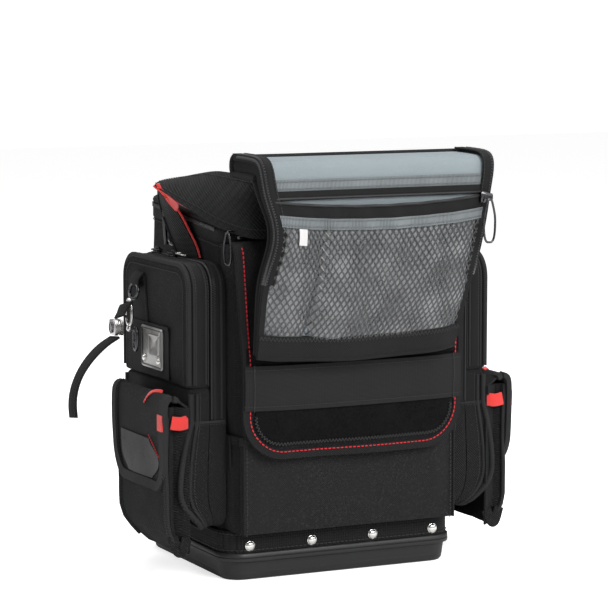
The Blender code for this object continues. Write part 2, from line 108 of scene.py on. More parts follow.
def sheet(name, points, mat, body, thickness, facing, wrap_cols=False):
    """A closed cloth sheet: `points` is its outer face, which looks towards `facing`."""
    points = np.asarray(points, float)
    rows, cols = points.shape[:2]
    normals = grid_normals(points, wrap_cols)
    flip = float((normals @ np.asarray(facing, float)).sum()) < 0
    if flip:
        normals = -normals
    back = points - normals * thickness
    verts = np.concatenate([points.reshape(-1, 3), back.reshape(-1, 3)])
    count = rows * cols
    front_faces = grid_faces(rows, cols, False, wrap_cols, flip)
    faces = list(front_faces)
    faces += [tuple(count + i for i in reversed(face)) for face in front_faces]
    edges = []
    for j in range(cols if wrap_cols else cols - 1):
        k = (j + 1) % cols
        edges.append((k, j))
        edges.append(((rows - 1) * cols + j, (rows - 1) * cols + k))
    if not wrap_cols:
        for i in range(rows - 1):
            edges.append((i * cols, (i + 1) * cols))
            edges.append(((i + 1) * cols + cols - 1, i * cols + cols - 1))
    for a, b in edges:
        rim = (a, b, count + b, count + a)
        faces.append(tuple(reversed(rim)) if flip else rim)
    return link(name, verts, faces, mat, body)


def resample(points, step, closed=False):
    """Points at even steps along a polyline."""
    points = np.asarray(points, float)
    if closed:
        points = np.vstack([points, points[:1]])
    lengths = np.linalg.norm(np.diff(points, axis=0), axis=1)
    along = np.concatenate([[0], np.cumsum(lengths)])
    count = max(int(round(along[-1] / step)), 2)
    wanted = np.linspace(0, along[-1], count + 1)
    out = np.stack([np.interp(wanted, along, points[:, k]) for k in range(3)], axis=1)
    return out[:-1] if closed else out


def rounded(points, times=2, closed=False):
    """Corner cutting, which turns a polyline into a smooth run with the same ends."""
    points = np.asarray(points, float)
    for _ in range(times):
        following = np.roll(points, -1, axis=0) if closed else points[1:]
        here = points if closed else points[:-1]
        cut = np.stack([0.75 * here + 0.25 * following, 0.25 * here + 0.75 * following], axis=1)
        cut = cut.reshape(-1, 3)
        points = cut if closed else np.vstack([points[:1], cut, points[-1:]])
    return points


def tangents(points, closed=False):
    if closed:
        return unit(np.roll(points, -1, axis=0) - np.roll(points, 1, axis=0))
    return unit(np.gradient(points, axis=0))


def frames(points, normals=None, closed=False):
    """(tangent, normal, side) along a line. `normals` may be one direction or one for each point."""
    along = tangents(points, closed)
    if normals is None:
        carried = [unit(np.array(Vector(along[0]).orthogonal()))]
        for t in along[1:]:
            last = carried[-1] - t * np.dot(carried[-1], t)
            carried.append(unit(last))
        normals = np.array(carried)
    normals = np.broadcast_to(np.asarray(normals, float), points.shape)
    normals = unit(normals - along * np.sum(normals * along, axis=1, keepdims=True))
    return along, normals, np.cross(along, normals)


def sweep(name, points, profile, mat, body, normals=None, closed=False, taper=None):
    """A profile of (side, normal) pairs swept along a line, with capped ends."""
    points = np.asarray(points, float)
    _, normal, side = frames(points, normals, closed)
    profile = np.asarray(profile, float)
    scale = np.ones(len(points)) if taper is None else np.asarray(taper)
    offsets = side[:, None] * profile[None, :, :1] + normal[:, None] * profile[None, :, 1:]
    verts = points[:, None] + offsets * scale[:, None, None]
    rows, cols = verts.shape[:2]
    faces = grid_faces(rows, cols, closed, True)
    if not closed:
        faces.append(tuple(reversed(range(cols))))
        faces.append(tuple((rows - 1) * cols + j for j in range(cols)))
    return link(name, verts.reshape(-1, 3), faces, mat, body)


def circle(radius, sides=10, squash=1.0):
    angles = [2 * math.pi * i / sides for i in range(sides)]
    return [(radius * math.cos(a), radius * squash * math.sin(a)) for a in angles]


def pad_profile(width, height, lift=0.0):
    """Section of a flat band with softened edges, `lift` above the line it follows."""
    w, h = width / 2, height / 2
    return [(-w, lift - h * 0.4), (-w * 0.9, lift - h), (w * 0.9, lift - h), (w, lift - h * 0.4),
            (w, lift + h * 0.4), (w * 0.92, lift + h), (-w * 0.92, lift + h), (-w, lift + h * 0.4)]


def boxes(name, centres, along, side, normal, size, mat, body):
    """Many small chamfered blocks in one mesh, such as stitches or zip teeth."""
    length, width, height = size
    shape = []
    for t in (-0.5, -0.36, 0.36, 0.5):
        shrink = 0.45 if abs(t) > 0.4 else 1.0
        for s, n in ((-1, -1), (1, -1), (1, 1), (-1, 1)):
            shape.append((t * length, s * width / 2 * shrink, n * height / 2 * shrink))
    shape = np.array(shape)
    local_faces = []
    for k in range(3):
        for j in range(4):
            a, b = 4 * k + j, 4 * k + (j + 1) % 4
            local_faces.append((a, b, b + 4, a + 4))
    local_faces += [(3, 2, 1, 0), (12, 13, 14, 15)]
    centres = np.asarray(centres, float)
    verts = (centres[:, None] + along[:, None] * shape[None, :, :1]
             + side[:, None] * shape[None, :, 1:2] + normal[:, None] * shape[None, :, 2:])
    faces = []
    for i in range(len(centres)):
        faces += [tuple(16 * i + v for v in face) for face in local_faces]
    return link(name, verts.reshape(-1, 3), faces, mat, body)


def stitches(name, points, normals, mat, body, pitch=4.2 * MM, length=3.0 * MM, width=0.75 * MM, closed=False):
    """A row of running stitches along a line."""
    line = resample(points, pitch, closed)
    if np.ndim(normals) == 2:
        normals = nearest(points, normals, line)
    along, normal, side = frames(line, normals, closed)
    return boxes(name, line, along, side, normal, (length, width, width * 0.8), mat, body)


def nearest(points, values, wanted):
    """The value that belongs to the closest of `points`, for each wanted point."""
    points, wanted = np.asarray(points), np.asarray(wanted)
    gap = np.linalg.norm(wanted[:, None] - points[None], axis=2)
    return np.asarray(values)[gap.argmin(axis=1)]


def zigzag(name, points, normals, mat, body, reach=1.6 * MM, pitch=1.7 * MM, width=0.6 * MM):
    """A zigzag stitch whose threads cross from side to side of its line."""
    line = resample(points, pitch)
    if np.ndim(normals) == 2:
        normals = nearest(points, normals, line)
    along, normal, side = frames(line, normals)
    swing = np.where(np.arange(len(line)) % 2 == 0, 1.0, -1.0)[:, None]
    corners = line + side * swing * reach
    middle = (corners[1:] + corners[:-1]) / 2
    run = corners[1:] - corners[:-1]
    length = float(np.linalg.norm(run, axis=1).mean())
    run = unit(run)
    return boxes(name, middle, run, np.cross(normal[1:], run), normal[1:], (length, width, width), mat, body)


def zip_teeth(name, points, normals, mat, body, pitch=2.1 * MM, spread=1.3 * MM, size=(1.2 * MM, 2.6 * MM, 1.7 * MM)):
    """Two interlocked rows of teeth along a line."""
    line = resample(points, pitch / 2)
    if np.ndim(normals) == 2:
        normals = nearest(points, normals, line)
    along, normal, side = frames(line, normals)
    swing = np.where(np.arange(len(line)) % 2 == 0, 1.0, -1.0)[:, None]
    return boxes(name, line + side * swing * spread, along, side, normal, size, mat, body)


def ripple(points, amount, scale, seed=0.0):
    """Smooth noise for each point, in metres."""
    flat = np.asarray(points).reshape(-1, 3)
    offset = Vector((seed, seed * 0.7, -seed))
    values = [noise.noise(Vector(p) * scale + offset) for p in flat]
    return (np.array(values) * amount).reshape(np.asarray(points).shape[:-1])


# ---- materials --------------------------------------------------------------------------------
class Tree:
    """Short ways to add and join shader nodes."""

    def __init__(self, name):
        self.mat = bpy.data.materials.new(name)
        self.mat.use_nodes = True
        self.nodes = self.mat.node_tree.nodes
        self.links = self.mat.node_tree.links
        self.shader = self.nodes["Principled BSDF"]
        coords = self.nodes.new("ShaderNodeTexCoord")
        self.coords = coords.outputs["Object"]
        split = self.nodes.new("ShaderNodeSeparateXYZ")
        self.links.new(self.coords, split.inputs[0])
        self.x, self.y, self.z = split.outputs

    def math(self, kind, a, b=None):
        made = self.nodes.new("ShaderNodeMath")
        made.operation = kind
        for socket, value in zip(made.inputs, (a, b)):
            if value is None:
                continue
            if isinstance(value, (int, float)):
                socket.default_value = value
            else:
                self.links.new(value, socket)
        return made.outputs[0]

    def noise(self, scale, detail=2.0, rough=0.5):
        made = self.nodes.new("ShaderNodeTexNoise")
        self.links.new(self.coords, made.inputs["Vector"])
        made.inputs["Scale"].default_value = scale
        made.inputs["Detail"].default_value = detail
        made.inputs["Roughness"].default_value = rough
        return made.outputs["Fac"]

    def mapped(self, value, low, high, to_low, to_high):
        made = self.nodes.new("ShaderNodeMapRange")
        self.links.new(value, made.inputs["Value"])
        for key, number in (("From Min", low), ("From Max", high), ("To Min", to_low), ("To Max", to_high)):
            made.inputs[key].default_value = number
        return made.outputs["Result"]

    def blend(self, share, a, b):
        """Colour between a and b by `share`."""
        made = self.nodes.new("ShaderNodeMix")
        made.data_type = "RGBA"
        self.links.new(share, made.inputs["Factor"])
        for socket, value in ((made.inputs["A"], a), (made.inputs["B"], b)):
            if isinstance(value, tuple):
                socket.default_value = (*value, 1.0)
            else:
                self.links.new(value, socket)
        return made.outputs["Result"]

    def set(self, key, value):
        socket = self.shader.inputs[key]
        if isinstance(value, (int, float)):
            socket.default_value = value
        elif isinstance(value, tuple):
            socket.default_value = (*value, 1.0)
        else:
            self.links.new(value, socket)

    def bump(self, height, strength, distance):
        made = self.nodes.new("ShaderNodeBump")
        made.inputs["Strength"].default_value = strength
        made.inputs["Distance"].default_value = distance
        self.links.new(height, made.inputs["Height"])
        self.links.new(made.outputs["Normal"], self.shader.inputs["Normal"])


CLOTH_SHINE = 0.14       # share of the usual dielectric reflection that matt cloth gives back


def shade(colour, factor):
    return tuple(min(c * factor, 1.0) for c in colour)


def weave_cloth(name, colour, pitch, depth=0.35 * MM, rough=0.85, contrast=0.6, glint_and_wear_lift=3.4, sheen=0.02):
    """Woven cloth: over-and-under cells painted lighter on their raised crests and darker in their hollows as painted
    shading, painted glints as light specks on the grain, slow wear patches and fine grain.
    """
    t = Tree(name)
    turn = 2 * math.pi / pitch
    across = t.math("SINE", t.math("MULTIPLY", t.math("ADD", t.x, t.y), turn))
    down = t.math("SINE", t.math("MULTIPLY", t.math("SUBTRACT", t.z, t.math("MULTIPLY", t.y, 0.12)), turn))
    cell = t.math("MULTIPLY", across, down)
    grain = t.noise(520.0, 3.0, 0.75)
    wear = t.noise(16.0, 4.0, 0.6)
    height = t.math("ADD", cell, t.math("MULTIPLY", grain, 1.6))
    # painted shading: the cells' colour follows their bump height, lighter on the crests and darker in the hollows
    weave_painted_shading = t.mapped(cell, -1.0, 1.0, 0.0, 1.0)
    base = t.blend(weave_painted_shading, shade(colour, 1 - contrast), shade(colour, 1 + contrast))
    # painted glints: light specks where the fine grain stands highest
    glinted = t.blend(t.mapped(grain, 0.52, 0.70, 0.0, 0.8), base, shade(colour, glint_and_wear_lift))
    worn = t.blend(t.mapped(wear, 0.35, 0.75, 0.0, 0.5), glinted, shade(colour, 1 + glint_and_wear_lift * 0.2))
    t.set("Base Color", worn)
    t.set("Roughness", t.mapped(wear, 0.3, 0.7, rough - 0.1, rough + 0.1))
    t.set("Specular IOR Level", CLOTH_SHINE)
    t.set("Sheen Weight", sheen)
    t.set("Sheen Roughness", 0.5)
    t.bump(height, 0.9, depth)
    return t.mat


def ribbed_cloth(name, colour, axis, pitch, depth=0.3 * MM, rough=0.75, sheen=0.02, second=None):
    """Webbing: fine ribs across `axis`, (x, y, z) weights of the rib direction."""
    t = Tree(name)
    along = t.math("ADD", t.math("MULTIPLY", t.x, axis[0]), t.math("MULTIPLY", t.y, axis[1]))
    along = t.math("ADD", along, t.math("MULTIPLY", t.z, axis[2]))
    rib = t.math("SINE", t.math("MULTIPLY", along, 2 * math.pi / pitch))
    if second:
        other = t.math("ADD", t.math("MULTIPLY", t.x, second[0]), t.math("MULTIPLY", t.z, second[2]))
        cross = t.math("SINE", t.math("MULTIPLY", other, 2 * math.pi / (pitch * 1.4)))
        rib = t.math("ADD", rib, t.math("MULTIPLY", cross, 0.5))
    grain = t.noise(1500.0, 2.0, 0.7)
    wear = t.noise(22.0, 3.0, 0.6)
    tone = t.mapped(rib, -1.0, 1.0, 0.0, 1.0)
    base = t.blend(tone, shade(colour, 0.55), shade(colour, 1.45))
    t.set("Base Color", t.blend(t.mapped(wear, 0.4, 0.8, 0.0, 0.5), base, shade(colour, 1.8)))
    t.set("Roughness", t.mapped(wear, 0.3, 0.7, rough - 0.08, rough + 0.1))
    t.set("Specular IOR Level", CLOTH_SHINE)
    t.set("Sheen Weight", sheen)
    t.bump(t.math("ADD", rib, t.math("MULTIPLY", grain, 0.8)), 0.6, depth)
    return t.mat


def pile_cloth(name, colour):
    """Matt loop pile: dense fuzzy tufts."""
    t = Tree(name)
    tufts = t.noise(620.0, 4.0, 0.75)
    patches = t.noise(60.0, 3.0, 0.6)
    tone = t.mapped(tufts, 0.3, 0.7, 0.0, 1.0)
    base = t.blend(tone, shade(colour, 0.35), shade(colour, 1.9))
    t.set("Base Color", t.blend(t.mapped(patches, 0.4, 0.7, 0.0, 0.4), base, shade(colour, 2.2)))
    t.set("Roughness", t.mapped(patches, 0.3, 0.7, 0.92, 1.0))
    t.set("Specular IOR Level", 0.05)
    t.set("Sheen Weight", 0.02)
    t.bump(tufts, 1.0, 1.2 * MM)
    return t.mat


def smooth_solid(name, colour, rough, metallic=0.0, grain=300.0, depth=0.05 * MM, vary=0.12, coat=0.0, shine=0.35):
    """Moulded plastic or metal: fine surface grain, uneven gloss and slight tonal drift."""
    t = Tree(name)
    fine = t.noise(grain, 3.0, 0.6)
    broad = t.noise(30.0, 3.0, 0.6)
    t.set("Base Color", t.blend(broad, shade(colour, 1 - vary), shade(colour, 1 + vary)))
    t.set("Roughness", t.mapped(t.math("MULTIPLY", fine, broad), 0.1, 0.45, max(rough - 0.08, 0.03), rough + 0.1))
    t.set("Metallic", metallic)
    t.set("Coat Weight", coat)
    t.set("Specular IOR Level", 0.5 if metallic else shine)
    t.bump(fine, 0.4, depth)
    return t.mat


def clear_film(name):
    """Crumpled clear film behind the net, with painted highlights and shade on its crumples."""
    t = Tree(name)
    folds_and_painted_glints = t.noise(38.0, 4.0, 0.65)
    # painted highlights and shade: the colour runs from near black to light grey with the fold noise, standing in for
    # glints and shade on the crumples
    t.set("Base Color", t.blend(folds_and_painted_glints, (0.060, 0.062, 0.065), (0.42, 0.43, 0.44)))
    t.set("Roughness", t.mapped(folds_and_painted_glints, 0.3, 0.7, 0.08, 0.26))
    t.set("Alpha", 0.62)
    t.set("IOR", 1.5)
    t.bump(folds_and_painted_glints, 1.0, 3.0 * MM)
    return t.mat


BLACK = (0.0095, 0.0095, 0.0100)
M = {
    "canvas": weave_cloth("black_canvas", BLACK, 2.4 * MM, 0.5 * MM),
    "canvas_smooth": weave_cloth("smooth_canvas", (0.0115, 0.0115, 0.0120), 1.7 * MM, 0.3 * MM, 0.8, 0.35),
    "flap_cloth": weave_cloth("flap_canvas", (0.0080, 0.0080, 0.0085), 2.0 * MM, 0.4 * MM),
    "binding": ribbed_cloth("binding_tape", (0.0110, 0.0110, 0.0115), (1, 1, 1.0), 2.0 * MM, 0.4 * MM),
    "webbing": ribbed_cloth("black_webbing", (0.0085, 0.0085, 0.0090), (0.5, 0.5, 1.0), 1.7 * MM, 0.35 * MM),
    "strap": ribbed_cloth("strap_twill", (0.0080, 0.0080, 0.0085), (0.6, -0.5, 0.9), 2.6 * MM, 0.5 * MM, 0.7, 0.02, (-0.8, 0, 0.7)),
    "piping": ribbed_cloth("raised_piping", (0.0190, 0.0190, 0.0200), (1, 1, 1.0), 2.0 * MM, 0.4 * MM),
    "rubber": smooth_solid("moulded_patch", (0.006, 0.006, 0.0063), 0.55, 0.0, 500.0, 0.08 * MM, 0.2),
    "plate": smooth_solid("satin_plate", (0.34, 0.335, 0.325), 0.36, 1.0, 420.0, 0.05 * MM, 0.16),
    "slot": smooth_solid("dark_steel", (0.10, 0.10, 0.10), 0.40, 1.0, 420.0, 0.05 * MM, 0.16),
    # painted highlight: these teeth are a lighter grey than the bag's other zip teeth, standing in for the grey
    # highlights along them
    "edge_teeth_painted_highlight": smooth_solid("edge_zip_teeth_painted_highlight", (0.070, 0.070, 0.073), 0.32, 0.0, 500.0, 0.05 * MM, 0.15),
    "elastic": ribbed_cloth("smooth_elastic", (0.0120, 0.0120, 0.0125), (0, 0, 1), 1.1 * MM, 0.15 * MM, 0.7, 0.02, (1, 0, 0)),
    "band": ribbed_cloth("tray_webbing", (0.0105, 0.0105, 0.0110), (1, 1, 0), 1.8 * MM, 0.35 * MM, 0.75, 0.02, (0, 0, 1)),
    "pile": pile_cloth("loop_pile", (0.0045, 0.0045, 0.0048)),
    "lining": weave_cloth("grey_lining", (0.215, 0.250, 0.265), 1.3 * MM, 0.15 * MM, 0.75, 0.10, 1.08),
    "grey_tape": ribbed_cloth("grey_tape", (0.135, 0.150, 0.155), (1, 0, 0), 1.3 * MM, 0.2 * MM, 0.7, 0.2),
    "zip_tape": ribbed_cloth("zip_tape", (0.0090, 0.0090, 0.0095), (1, 1, 1), 1.2 * MM, 0.15 * MM, 0.7),
    "teeth": smooth_solid("zip_coil", (0.011, 0.011, 0.012), 0.5, 0.0, 500.0),
    "metal_teeth": smooth_solid("zip_teeth", (0.16, 0.16, 0.165), 0.32, 0.9, 500.0),
    "red": ribbed_cloth("red_webbing", (0.62, 0.035, 0.03), (0.7, 0.7, 1.0), 1.4 * MM, 0.2 * MM, 0.6, 0.3),
    "red_thread": smooth_solid("red_thread", (0.55, 0.012, 0.02), 0.6, 0.0, 900.0, 0.1 * MM),
    "thread": smooth_solid("black_thread", (0.020, 0.020, 0.021), 0.6, 0.0, 900.0, 0.1 * MM),
    "grey_thread": smooth_solid("grey_thread", (0.11, 0.12, 0.125), 0.6, 0.0, 900.0, 0.1 * MM),
    "plastic": smooth_solid("moulded_plastic", (0.017, 0.017, 0.018), 0.45, 0.0, 700.0, 0.06 * MM, 0.15),
    "board": smooth_solid("stiffener_board", (0.09, 0.09, 0.10), 0.6, 0.0, 500.0),
    "nickel": smooth_solid("polished_nickel", (0.80, 0.79, 0.76), 0.14, 1.0, 200.0, 0.01 * MM, 0.05),
    "steel": smooth_solid("satin_steel", (0.62, 0.61, 0.60), 0.24, 1.0, 260.0, 0.03 * MM, 0.10),
    "gunmetal": smooth_solid("gunmetal", (0.085, 0.085, 0.09), 0.24, 1.0, 260.0, 0.03 * MM, 0.15),
    "net": smooth_solid("net_strand", (0.050, 0.051, 0.053), 0.3, 0.0, 900.0, 0.1 * MM, 0.2, 0.3),
    "film": clear_film("clear_film"),
    "tag": weave_cloth("plain_tag", (0.62, 0.61, 0.60), 0.9 * MM, 0.1 * MM, 0.7, 0.05, 1.0),
}


# ---- tray, band and main compartment ------------------------------------------------------------
def ring(half_x, half_y, z, radius, centre_y=0.0, corner=8, edge=14):
    """Points round a rounded rectangle, with extra points along its straight sides."""
    points = []
    for quarter in range(4):
        side_x = 1 if quarter in (0, 3) else -1
        side_y = 1 if quarter in (0, 1) else -1
        for step in range(corner + 1):
            angle = math.pi / 2 * (quarter + step / corner)
            x = side_x * (half_x - radius) + radius * math.cos(angle)
            y = side_y * (half_y - radius) + radius * math.sin(angle)
            points.append((x, y + centre_y, z))
    out = []
    for i, point in enumerate(points):
        out.append(point)
        following = points[(i + 1) % len(points)]
        if (i + 1) % (corner + 1) == 0:
            for k in range(1, edge):
                share = k / edge
                out.append(tuple(np.array(point) * (1 - share) + np.array(following) * share))
    return np.array(out)


def loft(name, rings, mat, body, closed=False, caps=(True, True), flip=False):
    rings = np.asarray(rings)
    rows, cols = rings.shape[:2]
    faces = grid_faces(rows, cols, closed, True, flip)
    if not closed and caps[0]:
        face = tuple(range(cols))
        faces.append(face if flip else tuple(reversed(face)))
    if not closed and caps[1]:
        face = tuple((rows - 1) * cols + j for j in range(cols))
        faces.append(tuple(reversed(face)) if flip else face)
    return link(name, rings.reshape(-1, 3), faces, mat, body)


def extent(node):
    low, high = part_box(node)
    return np.array(low), np.array(high)


TRAY_LOW, TRAY_HIGH = extent("base_tray")
WALL_LOW, WALL_HIGH = extent("back_wall")
LEFT_LOW, LEFT_HIGH = extent("left_wall")
HALF_X = -LEFT_LOW[0]
HALF_Y = WALL_HIGH[1]


def build_tray():
    half_x, half_y, top = TRAY_HIGH[0], TRAY_HIGH[1], TRAY_HIGH[2]
    profile = [
        (-0.0105, 0.0), (-0.0078, 0.0004), (-0.0062, 0.0020), (-0.0056, 0.0045),
        (-0.0042, top - 0.0105), (-0.0040, top - 0.0092), (-0.0016, top - 0.0086), (-0.0002, top - 0.0078),
        (0.0, top - 0.0066), (0.0, top - 0.0050), (-0.0008, top - 0.0046), (-0.0008, top - 0.0042),
        (0.0, top - 0.0038), (-0.0002, top - 0.0010), (-0.0012, top - 0.0002), (-0.0040, top - 0.0002),
        (-0.0048, top - 0.0020), (-0.0052, 0.0066), (-0.0062, 0.0061),
    ]
    rings = [ring(half_x + g, half_y + g, z, 0.024 + g) for g, z in profile]
    tray = loft("tray_moulding", rings, M["plastic"], "bag")
    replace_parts(tray, "base_tray")


def build_band():
    low, high = extent("base_band")
    profile = [(0.0034, low[2]), (0.0039, low[2] + 0.003), (0.0040, high[2] - 0.003), (0.0035, high[2] - 0.0004),
               (0.0012, high[2] - 0.0004), (0.0006, high[2] - 0.003), (0.0006, low[2])]
    rings = [ring(HALF_X + g, HALF_Y + g, z, 0.020 + g) for g, z in profile]
    band = loft("tray_band", rings, M["band"], "bag", closed=True)
    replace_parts(band, "base_band")
    for z, label in ((low[2] + 0.0022, "low"), (high[2] - 0.0024, "high")):
        line = ring(HALF_X + 0.0042, HALF_Y + 0.0042, z, 0.024)
        outward = unit(line * np.array([1, 1, 0]) - np.clip(line, [-0.09, -0.07, 0], [0.09, 0.07, 0]) * np.array([1, 1, 0]))
        stitches(f"band_stitches_{label}", line, outward, M["thread"], "bag", closed=True)


def build_rivets():
    for i in range(1, 5):
        low, high = extent(f"base_rivet_{i}")
        centre = (low + high) / 2
        dome(f"rivet_dome_{i}", (centre[0], high[1], centre[2]), (0, -1, 0), (high[0] - low[0]) / 2,
             high[1] - low[1], M["nickel"], "bag", f"base_rivet_{i}")


def dome(name, base, axis, radius, height, mat, body, node):
    """A turned rivet head: a flat skirt, a fine step and a round dome."""
    axis = np.array(axis, float)
    side = unit(np.array(Vector(axis).orthogonal()))
    other = np.cross(axis, side)
    profile = [(1.0, 0.0), (1.0, 0.12), (0.96, 0.2), (0.86, 0.24)]
    profile += [(0.86 * math.cos(a), 0.24 + 0.76 * math.sin(a)) for a in np.linspace(0.1, 1.45, 8)]
    rings = []
    for share, lift in profile:
        angles = np.linspace(0, 2 * math.pi, 28, endpoint=False)
        circle_points = side[None] * np.cos(angles)[:, None] + other[None] * np.sin(angles)[:, None]
        rings.append(np.array(base) + circle_points * radius * share + axis * height * lift)
    piece = loft(name, rings, mat, body, flip=False)
    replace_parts(piece, node)


def rim_height(points):
    """Height of the body's rim: a little lower at the front, higher at the back."""
    y = np.asarray(points)[..., 1]
    share = np.clip((y + HALF_Y) / (2 * HALF_Y), 0, 1)
    return extent("front_wall")[1][2] + (WALL_HIGH[2] - extent("front_wall")[1][2]) * share


def build_shell():
    """The main compartment: one lofted shell whose walls belly and crease a little."""
    bottom = LEFT_LOW[2]
    levels = 26
    outer, inner = [], []
    for k in range(levels + 1):
        share = k / levels
        base = ring(HALF_X, HALF_Y, 0.0, 0.022, 0.0, 8, 16)
        top = rim_height(base)
        z = bottom + (top - bottom) * share
        points = base.copy()
        points[:, 2] = z
        outward = unit(base - np.clip(base, [-0.075, -0.055, 0], [0.075, 0.055, 0]))
        belly = 0.0022 * math.sin(math.pi * share) + ripple(points, 0.0020, 14.0, 3.0) * min(1, 6 * share)
        outer.append(points + outward * belly[:, None] - outward * 0.0002)
        inner.append(points + outward * (belly[:, None] - 0.0052))
    rings = outer + inner[::-1]
    shell = loft("body_shell", rings, M["canvas"], "bag", closed=False, caps=(False, False))
    rows, cols = np.asarray(rings).shape[:2]
    close_bottom(shell, rows, cols)
    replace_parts(shell, "front_wall", "back_wall", "left_wall", "right_wall")
    rim = (outer[-1] + inner[-1]) / 2
    sweep("rim_binding", rim, circle(0.0042, 10, 0.8), M["binding"], "bag", normals=(0, 0, 1), closed=True)
    return outer


def close_bottom(obj, rows, cols):
    """Joins a shell's first and last rings into a closed body."""
    mesh = obj.data
    verts = [tuple(v.co) for v in mesh.vertices]
    faces = [tuple(p.vertices) for p in mesh.polygons]
    last = (rows - 1) * cols
    for j in range(cols):
        k = (j + 1) % cols
        faces.append((last + j, last + k, k, j))
    mesh.clear_geometry()
    mesh.from_pydata(verts, [], faces)
    mesh.shade_smooth()
    mesh.set_sharp_from_angle(angle=math.radians(50))


# ---- front pockets and flap ---------------------------------------------------------------------
FLAP_LOW, FLAP_HIGH = extent("front_flap_lower")
FLAP_TOP = extent("front_flap_upper")[1][2]
FOLD_Z = FLAP_HIGH[2]
FLAP_ROUND = 0.040


def bend(obj):
    """Bakes a piece's transform into its mesh."""
    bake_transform(obj)
    return obj


def smooth(t):
    t = np.clip(t, 0, 1)
    return t * t * (3 - 2 * t)


def bellows_plan(half_x, front, back):
    """A pocket seen from above, from its left rear seam round the front to its right rear seam."""
    left = [(-HALF_X - 0.0006, back), (-HALF_X - 0.0002, back - 0.008), (-half_x - 0.0042, front + 0.0135),
            (-half_x + 0.0002, front + 0.0075), (-half_x - 0.0020, front + 0.0016), (-half_x - 0.0002, front - 0.0008),
            (-half_x + 0.0028, front + 0.0006), (-half_x + 0.010, front + 0.0004)]
    right = [(-x, y) for x, y in reversed(left)]
    middle = [(x, front + 0.0004) for x in np.linspace(-half_x + 0.016, half_x - 0.016, 40)]
    return np.array(left + middle + right)


def build_front_pocket(node, seed, bulge):
    low, high = extent(node)
    plan = bellows_plan(high[0], low[1] + 0.0012, -HALF_Y + 0.012)
    rows = 34
    points = np.zeros((rows, len(plan), 3))
    for i, share in enumerate(np.linspace(0, 1, rows)):
        z = low[2] + (high[2] - low[2]) * share
        row = np.column_stack([plan, np.full(len(plan), z)])
        across = row[:, 0] / high[0]
        inside = smooth((1 - np.abs(across)) * 7)
        swell = bulge * math.sin(math.pi * share) * inside
        swell = swell + 0.0016 * inside * np.exp(-((across - 0.82) / 0.08) ** 2) * (0.4 + share)
        row[:, 1] -= swell
        row[:, 1] += ripple(row, 0.0016, 17.0, seed) * inside
        corner = smooth(1 - share * 5.0) * smooth((np.abs(across) - 1.0) * 12)
        row[:, 0] -= np.sign(row[:, 0]) * 0.004 * corner
        points[i] = row
    pocket = sheet(f"{node}_shell", points, M["canvas_smooth"], "bag", 0.0018, (0, -1, 0))
    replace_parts(pocket, node)
    for label, col in (("left", 6), ("right", len(plan) - 7)):
        seam = points[:, col] + np.array([0, -0.0007, 0])
        stitches(f"{node}_seam_{label}", seam, (0, -1, 0), M["thread"], "bag", 3.6 * MM, 2.6 * MM)
    for label, col in (("left", 5), ("right", len(plan) - 6)):
        sweep(f"{node}_edge_{label}", points[:, col], circle(0.0011, 8), M["binding"], "bag", normals=(0, -1, 0))
    return points


def build_front_pockets():
    lower = build_front_pocket("front_lower_pocket", 5.0, 0.0012)
    build_front_pocket("front_upper_pocket", 9.0, 0.0002)
    top = lower[-1]
    line = resample(top, 2.5 * MM) + np.array([0, 0, 0.0003])
    sweep("front_pocket_rim", line, pad_profile(0.0034, 0.008), M["binding"], "bag", normals=(0, 0, 1))
    for side in (-1, 1):
        x = side * (HALF_X + 0.0008)
        patch = [(x - side * 0.0002, y, 0.118 + 0.0012 * math.sin(y * 300)) for y in np.linspace(-0.100, -0.084, 8)]
        sweep(f"gusset_webbing_{'left' if side < 0 else 'right'}", patch, pad_profile(0.030, 0.0016), M["webbing"], "bag",
              normals=(side, 0, 0))


def flap_half_width(z):
    """Half the flap's width at height z, with its bottom corners rounded."""
    drop = np.clip(FLAP_LOW[2] + FLAP_ROUND - z, 0, FLAP_ROUND)
    round_in = FLAP_ROUND - np.sqrt(np.maximum(FLAP_ROUND ** 2 - drop ** 2, 0))
    return FLAP_HIGH[0] + flap_flare(z) - round_in


def flap_flare(z):
    """The flap spreads sideways above its crease, where it lies over the body's corners."""
    return 0.0075 * np.clip((np.asarray(z, float) - FOLD_Z) / (FLAP_TOP - FOLD_Z), 0, 1)


def flap_surface(x, z, lift=0.0):
    """A point on the flap's face: slightly bowed, edges curling back, with soft waves low down."""
    x, z = np.asarray(x, float), np.asarray(z, float)
    edge = smooth((np.abs(x) / FLAP_HIGH[0] - 0.72) / 0.28)
    y = FLAP_LOW[1] - lift + 0.0016 * edge
    wave = 0.0011 * np.sin(x * 52.0 + 0.6) * smooth((0.17 - z) / 0.05) + 0.0008 * np.sin(x * 31.0 + z * 60.0)
    y = y - wave * (1 - edge * 0.5)
    y = y - 0.0016 * smooth((0.150 - z) / 0.04)
    top = smooth((z - FLAP_TOP + 0.012) / 0.012)
    y = y + 0.0060 * top ** 2
    return np.stack([x, y, z], axis=-1)


def build_flap():
    heights = np.concatenate([np.linspace(FLAP_TOP, 0.160, 46), np.linspace(0.158, FLAP_LOW[2], 30)])
    across = np.linspace(-1, 1, 60)
    points = np.zeros((len(heights), len(across), 3))
    for i, z in enumerate(heights):
        points[i] = flap_surface(across * flap_half_width(z), np.full(len(across), z))
    flap = sheet("front_flap", points, M["flap_cloth"], None, 0.0026, (0, -1, 0))
    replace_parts(bend(flap), "front_flap_upper", "front_flap_lower")
    trim = flap_outline(0.0042)
    trim_points = flap_surface(trim[:, 0], trim[:, 1], -0.0009)
    ribs = 1 + 0.05 * np.cos(np.arange(len(trim_points)) * math.pi)
    band = sweep("flap_binding", trim_points, pad_profile(0.0086, 0.0046), M["binding"], None, normals=(0, -1, 0), taper=ribs)
    bend(band)
    inner = flap_outline(0.0068)
    line = flap_surface(inner[:, 0], inner[:, 1], 0.0018)
    red = stitches("flap_red_stitches", line, (0, -1, 0), M["red_thread"], None, 4.0 * MM, 2.8 * MM, 0.9 * MM)
    bend(red)


